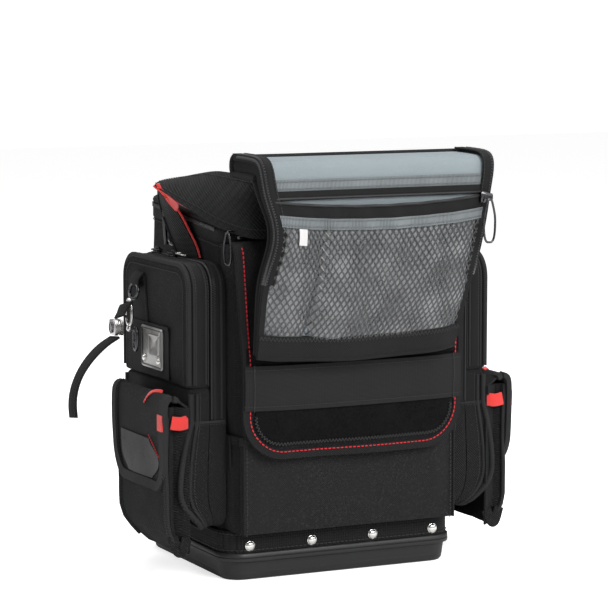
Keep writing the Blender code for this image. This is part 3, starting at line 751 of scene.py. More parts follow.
def flap_outline(inset):
    """(x, z) round the flap's sides and bottom, `inset` inside its edge."""
    half, low, radius = FLAP_HIGH[0] - inset, FLAP_LOW[2] + inset, FLAP_ROUND - inset
    points = [(-half, z) for z in np.linspace(FLAP_TOP - 0.003, low + radius, 90)]
    turn = np.linspace(0, math.pi / 2, 34)[1:]
    points += [(-half + radius - radius * math.cos(a), low + radius - radius * math.sin(a)) for a in turn]
    points += [(x, low) for x in np.linspace(-half + radius, half - radius, 84)[1:]]
    points += [(half - radius + radius * math.sin(a), low + radius - radius * math.cos(a)) for a in turn]
    points += [(half, z) for z in np.linspace(low + radius, FLAP_TOP - 0.003, 90)[1:]]
    points = np.array(points)
    points[:, 0] += np.sign(points[:, 0]) * flap_flare(points[:, 1])
    return points


def build_patch():
    low, high = extent("flap_loop_patch")
    heights = np.linspace(high[2], low[2], 30)
    across = np.linspace(-1, 1, 70)
    radius = 0.024
    points = []
    for z in heights:
        drop = max(low[2] + radius - z, 0)
        half = high[0] - (radius - math.sqrt(max(radius ** 2 - drop ** 2, 0)))
        row = flap_surface(across * half, np.full(len(across), z), 0.0022)
        row[:, 1] -= ripple(row, 0.0005, 260.0, 2.0)
        points.append(row)
    patch = sheet("loop_patch", points, M["pile"], "front_flap", 0.0018, (0, -1, 0))
    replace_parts(patch, "flap_loop_patch")
    edge = np.array(points)
    outline = np.vstack([edge[4:, 0], edge[-1, 1:-1], edge[4:, -1][::-1]])
    zigzag("patch_zigzag", outline + np.array([0, -0.0006, 0]), (0, -1, 0), M["thread"], "front_flap", 1.5 * MM, 1.6 * MM)


def build_flap_strap():
    """The wide strap across the flap, standing off a little in the middle, with a dark pile strip above."""
    low, high = extent("flap_strap")
    across = np.linspace(low[0], high[0], 80)
    heights = np.linspace(high[2], low[2], 22)
    points = []
    for k, z in enumerate(heights):
        share = across / high[0]
        row = flap_surface(across, np.full(len(across), z), 0.0031)
        row[:, 1] -= 0.0016 * (1 - share ** 2) + 0.0005 * math.sin(math.pi * k / 21)
        row[:, 1] += 0.0006 * smooth((np.abs(share) - 0.93) / 0.07)
        row[:, 2] -= 0.0008 * (1 - share ** 2)
        points.append(row)
    strap = sheet("flap_strap_webbing", points, M["elastic"], "front_flap", 0.0024, (0, -1, 0))
    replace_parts(strap, "flap_strap")
    grid = np.array(points)
    for label, col in (("left", 3), ("right", -4)):
        stitches(f"strap_tack_{label}", grid[:, col] + np.array([0, -0.0005, 0]), (0, -1, 0), M["thread"], "front_flap",
                 2.6 * MM, 1.9 * MM)
    for label, row in (("top", 2), ("low", -3)):
        stitches(f"strap_edge_{label}", grid[row] + np.array([0, -0.0002, 0]), (0, -1, 0), M["thread"], "front_flap",
                 3.0 * MM, 2.1 * MM, 0.45 * MM)
    strip = []
    for z in np.linspace(FOLD_Z + 0.0115, FOLD_Z - 0.0020, 8):
        row = flap_surface(across * 0.985, np.full(len(across), z), 0.0018)
        row[:, 1] -= ripple(row, 0.0004, 300.0, 4.0)
        strip.append(row)
    bend(sheet("flap_pile_strip", strip, M["pile"], None, 0.0014, (0, -1, 0)))


# ---- tether, clip plate and straps ---------------------------------------------------------------
def wire_through(name, points, radius, mat, body, node, closed=False, sides=12):
    piece = sweep(name, points, circle(radius, sides), M[mat], body, closed=closed)
    if node:
        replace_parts(piece, node)
    return piece


def build_tether():
    low, high = extent("tether_loop")
    y = (low[1] + high[1]) / 2
    wide = high[1] - low[1]
    path = [(high[0] - 0.0008, y, high[2] + 0.0010), (low[0] + 0.0010, y, high[2] + 0.0002), (low[0] - 0.0030, y, high[2] - 0.0045),
            (low[0] - 0.0034, y, low[2] - 0.0030), (low[0] + 0.0004, y, low[2] - 0.0040), (high[0] - 0.0008, y, low[2] - 0.0006)]
    loop = sweep("tether_loop_webbing", rounded(path, 3), pad_profile(wide, 0.0016), M["webbing"], "left_cover", normals=(-1, 0, 0.01))
    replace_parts(loop, "tether_loop")
    low, high = extent("tether_ring")
    centre = (low + high) / 2
    ring_points = []
    for i in range(40):
        angle = 2 * math.pi * i / 40
        across = 0.0098 * math.copysign(abs(math.cos(angle)) ** 0.8, math.cos(angle))
        ring_points.append((centre[0] - 0.0012 * math.sin(-angle), centre[1] + across, centre[2] + 0.0068 * math.sin(angle)))
    wire_through("tether_ring_wire", ring_points, 0.0016, "gunmetal", "tether", "tether_ring", True)
    build_carabiner()
    build_snap_hook()


def build_carabiner():
    low, high = extent("carabiner")
    centre = (low + high) / 2
    tall, wide = (high[2] - low[2]) / 2 - 0.0014, (high[1] - low[1]) / 2 - 0.0014
    arc = []
    for angle in np.linspace(math.radians(58), math.radians(332), 44):
        squeeze = 1.0 - 0.22 * (0.5 + 0.5 * math.sin(angle))
        arc.append((centre[0], centre[1] + wide * 1.08 * squeeze * math.cos(angle), centre[2] + tall * math.sin(angle)))
    wire_through("carabiner_bow", arc, 0.0014, "steel", "carabiner", "carabiner")
    glow, ghigh = extent("carabiner_gate")
    mid = (glow + ghigh) / 2
    gate = [(mid[0], ghigh[1] - 0.0008, glow[2] + 0.0006), (mid[0], mid[1] + 0.0004, mid[2]), (mid[0], glow[1] + 0.0010, ghigh[2] - 0.0006)]
    wire_through("carabiner_gate_bar", rounded(gate, 2), 0.0011, "steel", "carabiner_gate", "carabiner_gate")
    foot = centre + np.array([0, 0, -tall - 0.0012])
    rings = []
    for drop, radius in ((0.0014, 0.0010), (0.0008, 0.0024), (-0.0006, 0.0029), (-0.0026, 0.0027), (-0.0036, 0.0019), (-0.0042, 0.0010)):
        angles = np.linspace(0, 2 * math.pi, 20, endpoint=False)
        rings.append([foot + np.array([radius * math.cos(a), radius * math.sin(a), drop]) for a in angles])
    loft("carabiner_swivel", rings, M["steel"], "carabiner")


def build_snap_hook():
    low, high = extent("snap_hook")
    centre = (low + high) / 2
    tall, wide = (high[2] - low[2]) / 2 - 0.0012, (high[1] - low[1]) / 2 - 0.0012
    loop = []
    for i in range(36):
        angle = 2 * math.pi * i / 36
        pinch = 0.72 + 0.28 * math.sin(angle) ** 2
        loop.append((centre[0], centre[1] + wide * pinch * 1.15 * math.cos(angle), centre[2] + tall * math.sin(angle)))
    wire_through("snap_hook_bow", loop, 0.0017, "gunmetal", "snap_hook", "snap_hook", True)
    rings = []
    for drop, radius in ((0.0026, 0.0008), (0.0020, 0.0019), (-0.0012, 0.0021), (-0.0020, 0.0012)):
        angles = np.linspace(0, 2 * math.pi, 16, endpoint=False)
        rings.append([centre + np.array([radius * math.cos(a), radius * math.sin(a), tall * 0.25 + drop]) for a in angles])
    loft("snap_hook_barrel", rings, M["gunmetal"], "snap_hook")
    for k, drop in enumerate((0.30, -0.35)):
        small = [(centre[0] - 0.0012 * math.sin(a), centre[1] + 0.0016 * math.cos(a), centre[2] + tall * drop * 1.6 + 0.0034 * math.sin(a))
                 for a in np.linspace(0, 2 * math.pi, 20, endpoint=False)]
        sweep(f"snap_hook_link_{k + 1}", small, circle(0.0007, 8), M["gunmetal"], "snap_hook", closed=True)


def build_tape_strap():
    strip_piece("tether_lead", "tether_webbing", "tape_strap", 8)
    low, high = extent("strap_clip")
    centre = (low + high) / 2
    half = (high - low) / 2
    profile = [(-1, -0.7), (-0.86, -1), (0.86, -1), (1, -0.7), (1, 0.7), (0.86, 1), (-0.86, 1), (-1, 0.7)]
    rings = []
    for x, grow in ((-1.0, 0.86), (-0.9, 1.0), (-0.25, 1.0), (-0.15, 0.80), (0.25, 0.80), (0.35, 1.0), (0.9, 1.0), (1.0, 0.88)):
        rings.append([(centre[0] + x * half[0], centre[1] + a * half[1] * grow, centre[2] + b * half[2] * grow) for a, b in profile])
    clip = loft("strap_clip_body", rings, M["steel"], "tape_strap")
    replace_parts(clip, "strap_clip")
    spring = [(low[0] - 0.0008, centre[1] + 0.0042 * math.cos(a), centre[2] + 0.0046 * math.sin(a))
              for a in np.linspace(0, 2 * math.pi, 28, endpoint=False)]
    sweep("strap_clip_spring", spring, circle(0.0006, 8), M["gunmetal"], "tape_strap", normals=(-1, 0, 0), closed=True)
    strip_piece("tape_strap_webbing", "tape_strap", "tape_strap", 40)


def strip_piece(name, node, body, count):
    """A webbing strip along the length of its CAD node, with softened edges and stitched tacks."""
    mesh = frame["nodes"][node].data
    corners = np.array([v.co for v in mesh.vertices])
    order = np.argsort(-corners[:, 2])
    line, half_width = strip_middle(corners[order])
    smooth_line = resample(rounded(line, 2), 1.2 * MM)
    spread = np.interp(np.linspace(0, 1, len(smooth_line)), [0, 0.25, 0.6, 1.0], [1.45, 1.40, 1.15, 1.15])
    piece = sweep(name, smooth_line, pad_profile(2 * half_width, 0.0017), M["webbing"], body, normals=(-0.75, 0, 0.66), taper=spread)
    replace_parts(piece, node)
    for side in (-1, 1):
        edge = smooth_line[2:-2] + np.array([0, side * half_width * 0.80, 0])
        label = "a" if side < 0 else "b"
        stitches(f"{name}_edge_{label}", edge + np.array([-0.0008, 0, 0.0006]), (-0.75, 0, 0.66), M["thread"], body,
                 2.4 * MM, 1.7 * MM, 0.4 * MM)
    return piece


def strip_middle(corners):
    """Middle line and half width of a strip from its corner points, four to a station."""
    stations = []
    used = np.zeros(len(corners), bool)
    for i in range(len(corners)):
        if used[i]:
            continue
        gap = np.linalg.norm((corners - corners[i])[:, [0, 2]], axis=1)
        near = (gap < 0.0024) & ~used
        used |= near
        stations.append(corners[near].mean(axis=0))
    width = (corners[:, 1].max() - corners[:, 1].min()) / 2
    line = np.array(sorted(stations, key=lambda p: -p[2]))
    width = min(width, 0.0068)
    return line, width


CLIP_LIFT = 0.0018        # the plate is sewn over a webbing panel


def build_clip_plate():
    low, high = extent("clip_plate")
    low[0] -= CLIP_LIFT
    high[0] -= CLIP_LIFT
    face = low[0]
    outline = outline_yz(low[1], high[1], low[2], high[2], (0.0035, 0.0025, 0.0025, 0.0035), 1.2 * MM)
    rings = [lifted(outline, high[0]), lifted(outline, face + 0.0004), lifted(inset_outline(outline, 0.0005), face)]
    rings.append(lifted(shrink(outline, 0.03), face))
    plate = loft("clip_plate_sheet", [lifted(shrink(outline, 0.03), high[0])] + rings, M["plate"], "left_cover")
    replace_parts(plate, "clip_plate")
    raised = outline_yz(low[1] + 0.006, low[1] + 0.030, low[2] + 0.0125, high[2] - 0.0060, (0.0022,) * 4, 1.2 * MM)
    steps = ((0.0, -0.0002), (0.0, 0.0003), (0.0006, 0.0013), (0.0022, 0.0013), (0.0032, 0.0004))
    bead = [lifted(inset_outline(raised, inset), face - rise) for inset, rise in steps]
    loft("clip_plate_emboss", bead + [lifted(shrink(raised, 0.05), face - 0.0004)], M["plate"], "left_cover")
    hem = lifted(inset_outline(outline, 0.0022), face - 0.0001)
    sweep("clip_plate_hem", hem, circle(0.0007, 8, 0.6), M["slot"], "left_cover", normals=(-1, 0, 0), closed=True)
    for i in (1, 2):
        rivet_low, rivet_high = extent(f"clip_rivet_{i}")
        centre = (rivet_low + rivet_high) / 2
        dome(f"clip_rivet_dome_{i}", (rivet_high[0] + 0.0003 - CLIP_LIFT, centre[1], centre[2]), (-1, 0, 0), (rivet_high[2] - rivet_low[2]) / 2,
             rivet_high[0] - rivet_low[0] + 0.0003, M["nickel"], "left_cover", f"clip_rivet_{i}")


# ---- carry strap, rings and corner zip -----------------------------------------------------------
def strap_stations():
    """Rear edge, middle and front edge of the folded carry strap, from its fold to under the lid."""
    edges = np.array([
        [(-0.1225, 0.036, 0.3540), (-0.1426, 0.001, 0.3543)], [(-0.1180, 0.028, 0.3562), (-0.1412, -0.003, 0.3515)],
        [(-0.1116, 0.016, 0.3587), (-0.1375, -0.012, 0.3470)], [(-0.1028, -0.010, 0.3638), (-0.1324, -0.030, 0.3388)],
        [(-0.0978, -0.035, 0.3675), (-0.1268, -0.049, 0.3322)], [(-0.0948, -0.055, 0.3673), (-0.1178, -0.080, 0.3206)],
        [(-0.0907, -0.072, 0.3664), (-0.1070, -0.108, 0.3144)], [(-0.0800, -0.088, 0.3640), (-0.0969, -0.124, 0.3125)],
        [(-0.0450, -0.098, 0.3610), (-0.0550, -0.129, 0.3130)], [(-0.0150, -0.103, 0.3600), (-0.0200, -0.130, 0.3180)],
        [(0.0200, -0.104, 0.3590), (0.0160, -0.131, 0.3210)], [(0.0580, -0.104, 0.3580), (0.0580, -0.130, 0.3240)]])
    swell = np.interp(np.arange(len(edges)), [0, 2, 4, 7, 11], [0.0010, 0.0040, 0.0045, 0.0030, 0.0020])
    middle = edges.mean(axis=1) + swell[:, None] * unit(np.array([-0.5, -0.3, 0.75]))
    return np.stack([edges[:, 0], middle, edges[:, 1]], axis=1)


def build_carry_strap():
    stations = strap_stations()
    fine = []
    for k in range(3):
        fine.append(resample(rounded(stations[:, k], 3), 1.0 * MM))
    count = 150
    lines = [np.stack([np.interp(np.linspace(0, 1, count), np.linspace(0, 1, len(f)), f[:, a]) for a in range(3)], axis=1) for f in fine]
    rows = []
    for i in range(count):
        a, b, c = lines[0][i], lines[1][i], lines[2][i]
        row = []
        for u in np.linspace(0, 1, 26):
            point = a * (1 - u) ** 2 + (2 * b - 0.5 * a - 0.5 * c) * 2 * u * (1 - u) + c * u ** 2
            row.append(point)
        rows.append(row)
    rows = np.array(rows)
    facing = np.array([-0.5, -0.5, 0.6])
    top = sheet("carry_strap_webbing", rows, M["strap"], "bag", 0.0014, facing)
    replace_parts(top, "carry_strap")
    normals = grid_normals(rows)
    if float((normals @ facing).sum()) < 0:
        normals = -normals
    under = rows - normals * 0.0018
    sheet("carry_strap_lining", under[:, 1:-1], M["red"], "bag", 0.0010, facing)
    for label, col in (("upper", 1), ("lower", -2)):
        away = 1 if label == "lower" else -1
        edge = rows[:, col] + unit(rows[:, col] - rows[:, col - away]) * 0.0010
        sweep(f"carry_strap_red_{label}", edge - normals[:, col] * 0.0022, circle(0.0011, 8), M["red"], "bag")
    inner = rows[:, 3] + normals[:, 3] * 0.0003
    stitches("carry_strap_seam", inner, normals[:, 3], M["thread"], "bag", 3.0 * MM, 2.2 * MM, 0.6 * MM)
    inner = rows[:, -4] + normals[:, -4] * 0.0003
    stitches("carry_strap_seam_low", inner, normals[:, -4], M["thread"], "bag", 3.0 * MM, 2.2 * MM, 0.6 * MM)
    build_strap_return()


def build_strap_return():
    """The strap's second layer, which turns back under the fold and down the side wall, lined in red."""
    front = rounded([(-0.1426, 0.000, 0.3540), (-0.1412, 0.000, 0.3488), (-0.1314, 0.000, 0.3393), (-0.1243, -0.008, 0.3281),
                     (-0.1199, -0.020, 0.3118), (-0.1189, -0.035, 0.2992), (-0.1182, -0.040, 0.2890)], 3)
    back = rounded([(-0.1225, 0.036, 0.3540), (-0.1240, 0.038, 0.3480), (-0.1240, 0.036, 0.3350), (-0.1215, 0.030, 0.3200),
                    (-0.1200, 0.014, 0.3000), (-0.1190, 0.004, 0.2890)], 3)
    count = 50
    lines = [np.stack([np.interp(np.linspace(0, 1, count), np.linspace(0, 1, len(f)), f[:, a]) for a in range(3)], axis=1)
             for f in (front, back)]
    rows = []
    for i in range(count):
        belly = np.array([-0.0016, 0, -0.0010])
        rows.append([lines[0][i] * (1 - u) + lines[1][i] * u + belly * math.sin(math.pi * u) for u in np.linspace(0, 1, 16)])
    rows = np.array(rows)
    facing = np.array([-0.8, 0, -0.4])
    sheet("strap_return_webbing", rows, M["strap"], "bag", 0.0012, facing)
    normals = grid_normals(rows)
    if float((normals @ facing).sum()) < 0:
        normals = -normals
    lining = rows - normals * 0.0014
    lining[:, 0] += np.array([0, -0.0022, 0.0004])
    sheet("strap_return_lining", lining, M["red"], "bag", 0.0011, facing)
    thick = np.interp(np.linspace(0, 1, count), [0, 0.2, 0.5, 1], [1.5, 1.9, 1.0, 0.8])
    sweep("strap_return_red", lining[:, 0], circle(0.0011, 8), M["red"], "bag", normals=(0, -1, 0.1), taper=thick)
    sweep("strap_return_binding", rows[:, -1], circle(0.0016, 8), M["binding"], "bag")
    upper = resample(rounded([(-0.1422, 0.001, 0.3538), (-0.1375, -0.011, 0.3466), (-0.1330, -0.028, 0.3384)], 3), 1.0 * MM)
    lower = resample(rounded([(-0.1420, 0.002, 0.3530), (-0.1330, 0.001, 0.3402), (-0.1249, -0.006, 0.3284)], 3), 1.0 * MM)
    lens = []
    for t in np.linspace(0, 1, 30):
        ends = [np.array([np.interp(t, np.linspace(0, 1, len(line)), line[:, k]) for k in range(3)]) for line in (upper, lower)]
        lens.append([ends[0] * (1 - u) + ends[1] * u + np.array([0.0016, 0.0010, 0]) * math.sin(math.pi * u) for u in np.linspace(0, 1, 12)])
    sheet("strap_fold_lining", lens, M["red"], "bag", 0.0010, (-0.7, -0.5, 0))


def build_strap_rings():
    for side, label in SIDES:
        low, high = extent(f"{label}_strap_ring")
        centre = (low + high) / 2
        half_y, half_z = (high[1] - low[1]) / 2 - 0.0022, (high[2] - low[2]) / 2 - 0.0022
        points = []
        for i in range(48):
            angle = 2 * math.pi * i / 48
            y = half_y * math.copysign(abs(math.cos(angle)) ** 0.45, math.cos(angle))
            z = half_z * math.copysign(abs(math.sin(angle)) ** 0.6, math.sin(angle))
            points.append((centre[0], centre[1] + y * (1 - 0.08 * math.sin(angle)), centre[2] + z))
        body = "bag" if side < 0 else "right_ring"
        wire_through(f"{label}_strap_ring_wire", points, 0.0021, "gunmetal", body, f"{label}_strap_ring", True)
        wrap = [(side * (HALF_X + 0.0010), centre[1], low[2] - 0.016), (side * (HALF_X + 0.0018), centre[1], low[2] - 0.006),
                (side * (HALF_X + 0.0020), centre[1], low[2] + 0.0010), (side * (HALF_X + 0.0012), centre[1], low[2] + 0.012)]
        sweep(f"{label}_ring_anchor", rounded(wrap, 2), pad_profile(0.030, 0.0016), M["webbing"], "bag", normals=(side, 0, 0))
    bar = rounded([(-0.1216, 0.0300, 0.3294), (-0.1212, 0.0305, 0.3120), (-0.1196, 0.0300, 0.2957)], 3)
    sweep("strap_hook_bar", bar, circle(0.0020, 10), M["gunmetal"], "bag")
    for k, place in enumerate(((-0.1196, 0.000, 0.288), (-0.1196, -0.009, 0.288))):
        dome_at(f"strap_hook_rivet_{k + 1}", place, (-1, 0, 0), 0.0026, 0.0016, M["nickel"], "bag")


def dome_at(name, base, axis, radius, height, mat, body):
    """A plain round-headed rivet."""
    axis = np.array(axis, float)
    side = unit(np.array(Vector(axis).orthogonal()))
    other = np.cross(axis, side)
    rings = []
    angles = np.linspace(0, 2 * math.pi, 18, endpoint=False)
    for turn in np.linspace(0.0, 1.45, 7):
        around = side[None] * np.cos(angles)[:, None] + other[None] * np.sin(angles)[:, None]
        rings.append(np.array(base) + around * radius * math.cos(turn) + axis * height * math.sin(turn))
    return loft(name, rings, mat, body)


def build_corner_zip():
    low, high = extent("corner_zip_slider")
    slider_piece("corner_slider", (low + high) / 2, (0, 0, 1), (-0.5, -0.87, 0), "bag", "corner_zip_slider", 0.9)
    low, high = extent("corner_zip_pull")
    wire_pull("corner_wire_pull", low, high, 1, "corner_pull", "corner_zip_pull")
    pivot = np.array(next(j for j in frame["joints"] if j["name"] == "corner_zip_pull_swing")["pos_m"])
    low, high = extent("corner_zip_slider")
    start = np.array([low[0] + 0.0020, low[1] - 0.0006, (low[2] + high[2]) / 2])
    along, middle = (pivot - start) / 2, (pivot + start) / 2
    wide = unit(np.cross(along, (0.3, -0.9, 0.2))) * 0.0020
    loop = [middle + along * math.cos(a) + wide * math.sin(a) for a in np.linspace(0, 2 * math.pi, 28, endpoint=False)]
    sweep("corner_pull_link", loop, circle(0.0008, 8), M["gunmetal"], "bag", closed=True)


# ---- rim, inside and back -------------------------------------------------------------------------
def build_rim(outer):
    rim = outer[-1]
    line = resample(rim, 2.0 * MM, closed=True)
    away = unit((line - np.clip(line, [-0.09, -0.07, -1], [0.09, 0.07, 1])) * np.array([1, 1, 0]))
    sweep("rim_zip_tape", line + away * 0.0009 + np.array([0, 0, -0.010]), pad_profile(0.0120, 0.0012), M["zip_tape"], "bag",
          normals=away, closed=True)
    teeth = line + away * 0.0016 + np.array([0, 0, -0.0045])
    keep = teeth[(teeth[:, 1] > -0.070)]
    start = int(np.argmax(np.linalg.norm(np.diff(keep, axis=0), axis=1))) + 1
    keep = np.roll(keep, -start, axis=0)
    out = nearest(line, away, keep)
    zip_teeth("rim_zip_teeth", keep, out, M["metal_teeth"], "bag", 2.6 * MM, 0.8 * MM, (1.1 * MM, 2.0 * MM, 1.4 * MM))
    stitches("rim_stitches", line + away * 0.0012 + np.array([0, 0, -0.0185]), away, M["thread"], "bag", closed=True)


def build_inside():
    low, high = extent("inner_divider")
    outline = [(-1, 0.0), (-1, 0.86), (-0.93, 0.97), (-0.84, 1.0), (0.84, 1.0), (0.93, 0.97), (1, 0.86), (1, 0.0)]
    rings = []
    for y, grow in ((low[1], 0.985), (low[1] + 0.0006, 1.0), (high[1] - 0.0006, 1.0), (high[1], 0.985)):
        rings.append([(x * high[0] * grow, y, low[2] + (high[2] - low[2]) * z * (grow + 0.005)) for x, z in outline])
    board = loft("divider_board", rings, M["board"], "bag")
    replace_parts(board, "inner_divider")
    top = [(x * high[0], (low[1] + high[1]) / 2, low[2] + (high[2] - low[2]) * z) for x, z in outline[1:-1]]
    sweep("divider_binding", resample(rounded(top, 2), 2.2 * MM), circle(0.0030, 10), M["binding"], "bag", normals=(0, 1, 0))
    for z, label in ((0.165, "mid"), (0.215, "high")):
        rows = [[(x, low[1] - 0.0016 - 0.0010 * abs(math.sin(x * 78.5)), z - 0.016 + 0.032 * k / 5) for x in np.linspace(-0.088, 0.088, 90)]
                for k in range(6)]
        sheet(f"divider_loops_{label}", rows, M["elastic"], "bag", 0.0014, (0, -1, 0))
    low, high = extent("floor_board")
    rings = [ring(high[0] + g, high[1] + g, z, 0.012 + g) for g, z in
             ((-0.0010, low[2]), (0.0, low[2] + 0.0008), (0.0, high[2] - 0.0008), (-0.0012, high[2]))]
    floor = loft("floor_board_sheet", rings, M["board"], "bag")
    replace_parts(floor, "floor_board")


def build_back():
    """Quilted pad over the back wall, with a bound edge and two rows of seams."""
    low, high = extent("back_pad")
    columns, levels = 64, 70
    rows = []
    for z in np.linspace(low[2], high[2], levels):
        edge_z = min(z - low[2], high[2] - z)
        half = high[0]
        if high[2] - z < 0.016:
            half -= 0.016 - math.sqrt(max(0.016 ** 2 - (0.016 - (high[2] - z)) ** 2, 0))
        x = np.linspace(-half, half, columns)
        edge = np.minimum(half - np.abs(x), edge_z)
        puff = smooth(edge / 0.014)
        quilt = np.minimum(np.abs(np.sin(math.pi * (x + 0.095) / 0.0633)), abs(math.sin(math.pi * (z - low[2]) / 0.0840)))
        y = low[1] + 0.0030 + (high[1] - low[1] - 0.0030) * puff * (0.62 + 0.38 * smooth(quilt * 3.2))
        row = np.column_stack([x, y, np.full(columns, z)])
        row[:, 1] += ripple(row, 0.0006, 40.0, 8.0) * puff
        rows.append(row)
    pad = sheet("back_pad_cloth", rows, M["canvas_smooth"], "bag", 0.0028, (0, 1, 0))
    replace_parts(pad, "back_pad")
    grid = np.array(rows)
    outline = np.vstack([grid[:, 0], grid[-1, 1:-1], grid[:, -1][::-1], grid[0, 1:-1][::-1]])
    sweep("back_pad_binding", resample(outline, 2.4 * MM, closed=True), circle(0.0027, 10), M["binding"], "bag", normals=(0, 1, 0), closed=True)
    for k, x in enumerate((-0.0317, 0.0317)):
        col = int(np.argmin(np.abs(grid[20, :, 0] - x)))
        stitches(f"back_seam_{k + 1}", grid[3:-6, col] + np.array([0, 0.0003, 0]), (0, 1, 0), M["thread"], "bag")
    strap = [(x, HALF_Y + 0.0120, 0.245 + 0.0015 * math.cos(x * 40)) for x in np.linspace(-0.094, 0.094, 50)]
    sweep("back_carry_webbing", strap, pad_profile(0.038, 0.0020), M["webbing"], "bag", normals=(0, 1, 0))
    for k, x in enumerate((-0.090, 0.090)):
        box = [(x + dx, HALF_Y + 0.0133, 0.245 + dz) for dx, dz in ((-0.003, -0.015), (0.003, -0.015), (0.003, 0.015), (-0.003, 0.015))]
        stitches(f"back_strap_tack_{k + 1}", resample(box, 2.0 * MM, closed=True), (0, 1, 0), M["thread"], "bag", 2.6 * MM, 1.9 * MM, closed=True)


# ---- lid with its net pocket --------------------------------------------------------------------
LID_LOW, LID_HIGH = extent("lid_panel")
HINGE_POS = next(j for j in frame["joints"] if j["name"] == "lid_hinge")["pos_m"]
LID_SHIFT = HINGE_POS[0]
LID_FRONT = -0.150
LID_END_Z = LID_LOW[2]
LID_TOP_Z = LID_HIGH[2]
HALF_TOP = LID_HIGH[0] - LID_SHIFT
HALF_END = 0.0985
SHIFT_END = -0.0050


def lid_curve():
    """(y, z) of the lid's outer face from its hinge seam, over the brow and down to its free edge."""
    y = LID_FRONT
    corner = [(HINGE_POS[1] - 0.004, 0, LID_TOP_Z - 0.0006), (y + 0.022, 0, LID_TOP_Z - 0.0006),
              (y + 0.006, 0, LID_TOP_Z - 0.002), (y - 0.0005, 0, LID_TOP_Z - 0.011), (y - 0.003, 0, 0.350),
              (y - 0.004, 0, 0.325), (y + 0.000, 0, 0.270), (-0.1360, 0, LID_END_Z + 0.0006)]
    return resample(rounded(corner, 3), 1.5 * MM)[:, [0, 2]]


CURVE = lid_curve()
CURVE_NORMAL = unit(np.column_stack([-np.gradient(CURVE[:, 1]), np.gradient(CURVE[:, 0])]))
CURVE_NORMAL *= -1.0 if CURVE_NORMAL[-1, 0] > 0 else 1.0
CURVE_S = np.linspace(0, 1, len(CURVE))


def share_at(z):
    """How far down the lid its front part reaches height z."""
    front = np.where((CURVE[:, 0] < -0.146) | (CURVE[:, 1] < 0.30))[0]
    return float(np.interp(-z, -CURVE[front, 1], CURVE_S[front]))


def lid_half(z):
    share = (z - LID_END_Z) / (LID_TOP_Z - LID_END_Z)
    return HALF_END + (HALF_TOP - HALF_END) * share, SHIFT_END + (LID_SHIFT - SHIFT_END) * share


def lid_point(s, u, lift=0.0):
    """A point of the lid: s from hinge to free edge, u across it from -1 to 1, `lift` off its face."""
    s, u = np.broadcast_arrays(np.asarray(s, float), np.asarray(u, float))
    y = np.interp(s, CURVE_S, CURVE[:, 0])
    z = np.interp(s, CURVE_S, CURVE[:, 1])
    ny = np.interp(s, CURVE_S, CURVE_NORMAL[:, 0])
    nz = np.interp(s, CURVE_S, CURVE_NORMAL[:, 1])
    half, centre = lid_half(z)
    sag = 0.0052 * smooth((0.36 - z) / 0.15) * (1 - u ** 2)
    curl = 0.0030 * smooth((np.abs(u) - 0.80) / 0.20) * smooth((LID_TOP_Z - z) / 0.04)
    wave = 0.0010 * np.sin(u * 7.0 + z * 40) * smooth((0.34 - z) / 0.05)
    pinch = np.exp(-((z - 0.318) / 0.034) ** 2) * smooth((-u - 0.45) / 0.55)
    out = lift - curl + wave + 0.0065 * pinch
    return np.stack([centre + u * half + 0.0095 * pinch, y + ny * out, z + nz * out - sag], axis=-1)


def lid_strip(name, z_top, z_low, lift, mat, thickness=0.0012, reach=0.955, rows=6):
    """A flat tape across the lid's front between two heights."""
    across = np.linspace(-reach, reach, 70)
    points = [lid_point(np.full(70, s), across, lift) for s in np.linspace(share_at(z_top), share_at(z_low), rows)]
    return sheet(name, points, mat, "lid", thickness, (0, -1, 0)), np.array(points)


def build_lid_panel():
    across = np.linspace(-1, 1, 74)
    shares = np.linspace(0, 1, 90)
    points = [lid_point(np.full(74, s), across) for s in shares]
    panel = sheet("lid_panel_cloth", points, M["lining"], "lid", 0.0022, (0, -0.6, 0.3))
    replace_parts(panel, "lid_panel")
    lining = [lid_point(np.full(74, s), across * 0.99, -0.0024) for s in shares]
    sheet("lid_underside", lining, M["canvas"], "lid", 0.0018, (0, -0.6, 0.3))
    strip, points = lid_strip("lid_tape_top", 0.3660, 0.3560, 0.0014, M["grey_tape"])
    for label, row in (("a", 1), ("b", -2)):
        zigzag(f"lid_tape_top_thread_{label}", points[row] + np.array([0, -0.0003, 0]), (0, -1, 0), M["grey_thread"], "lid",
               0.8 * MM, 1.5 * MM, 0.45 * MM)
    strip, points = lid_strip("lid_zip_tape_top", 0.3562, 0.3495, 0.0026, M["zip_tape"])
    sweep("lid_zip_coil_top", resample(points[-1], 1.2 * MM), circle(0.0013, 8), M["teeth"], "lid", normals=(0, -1, 0))


def pocket_point(t, u, lift=0.0):
    """The net pocket: t from its zipped mouth to the band at its foot, u across."""
    t, u = np.broadcast_arrays(np.asarray(t, float), np.asarray(u, float))
    mouth = 0.3475 - 0.0060 * (1 - u ** 2)
    z = mouth + (0.2235 - mouth) * t
    share = np.interp(-z, -DOWN_Z, DOWN_S)
    base = lid_point(share, u)
    room = (1 - np.abs(u) ** 3)
    bulge = 0.0100 * room * np.sin(np.pi * np.clip(t * 0.86 + 0.14, 0, 1)) ** 0.8
    folds_and_painted_glints = 0.0014 * np.sin(u * 11.0 + t * 5.0) * np.sin(math.pi * t) + 0.0012 * np.sin(u * 23.0 - t * 9.0) * (1 - t)
    tuck = 0.0045 * np.exp(-((u + 0.50 + 0.06 * t) / 0.035) ** 2) * smooth(t * 3)
    base[..., 1] -= 0.0016 + lift + bulge + folds_and_painted_glints * room - tuck
    return base


DOWN_S = np.array([share_at(z) for z in np.linspace(0.355, LID_END_Z + 0.0008, 60)])
DOWN_Z = np.linspace(0.355, LID_END_Z + 0.0008, 60)


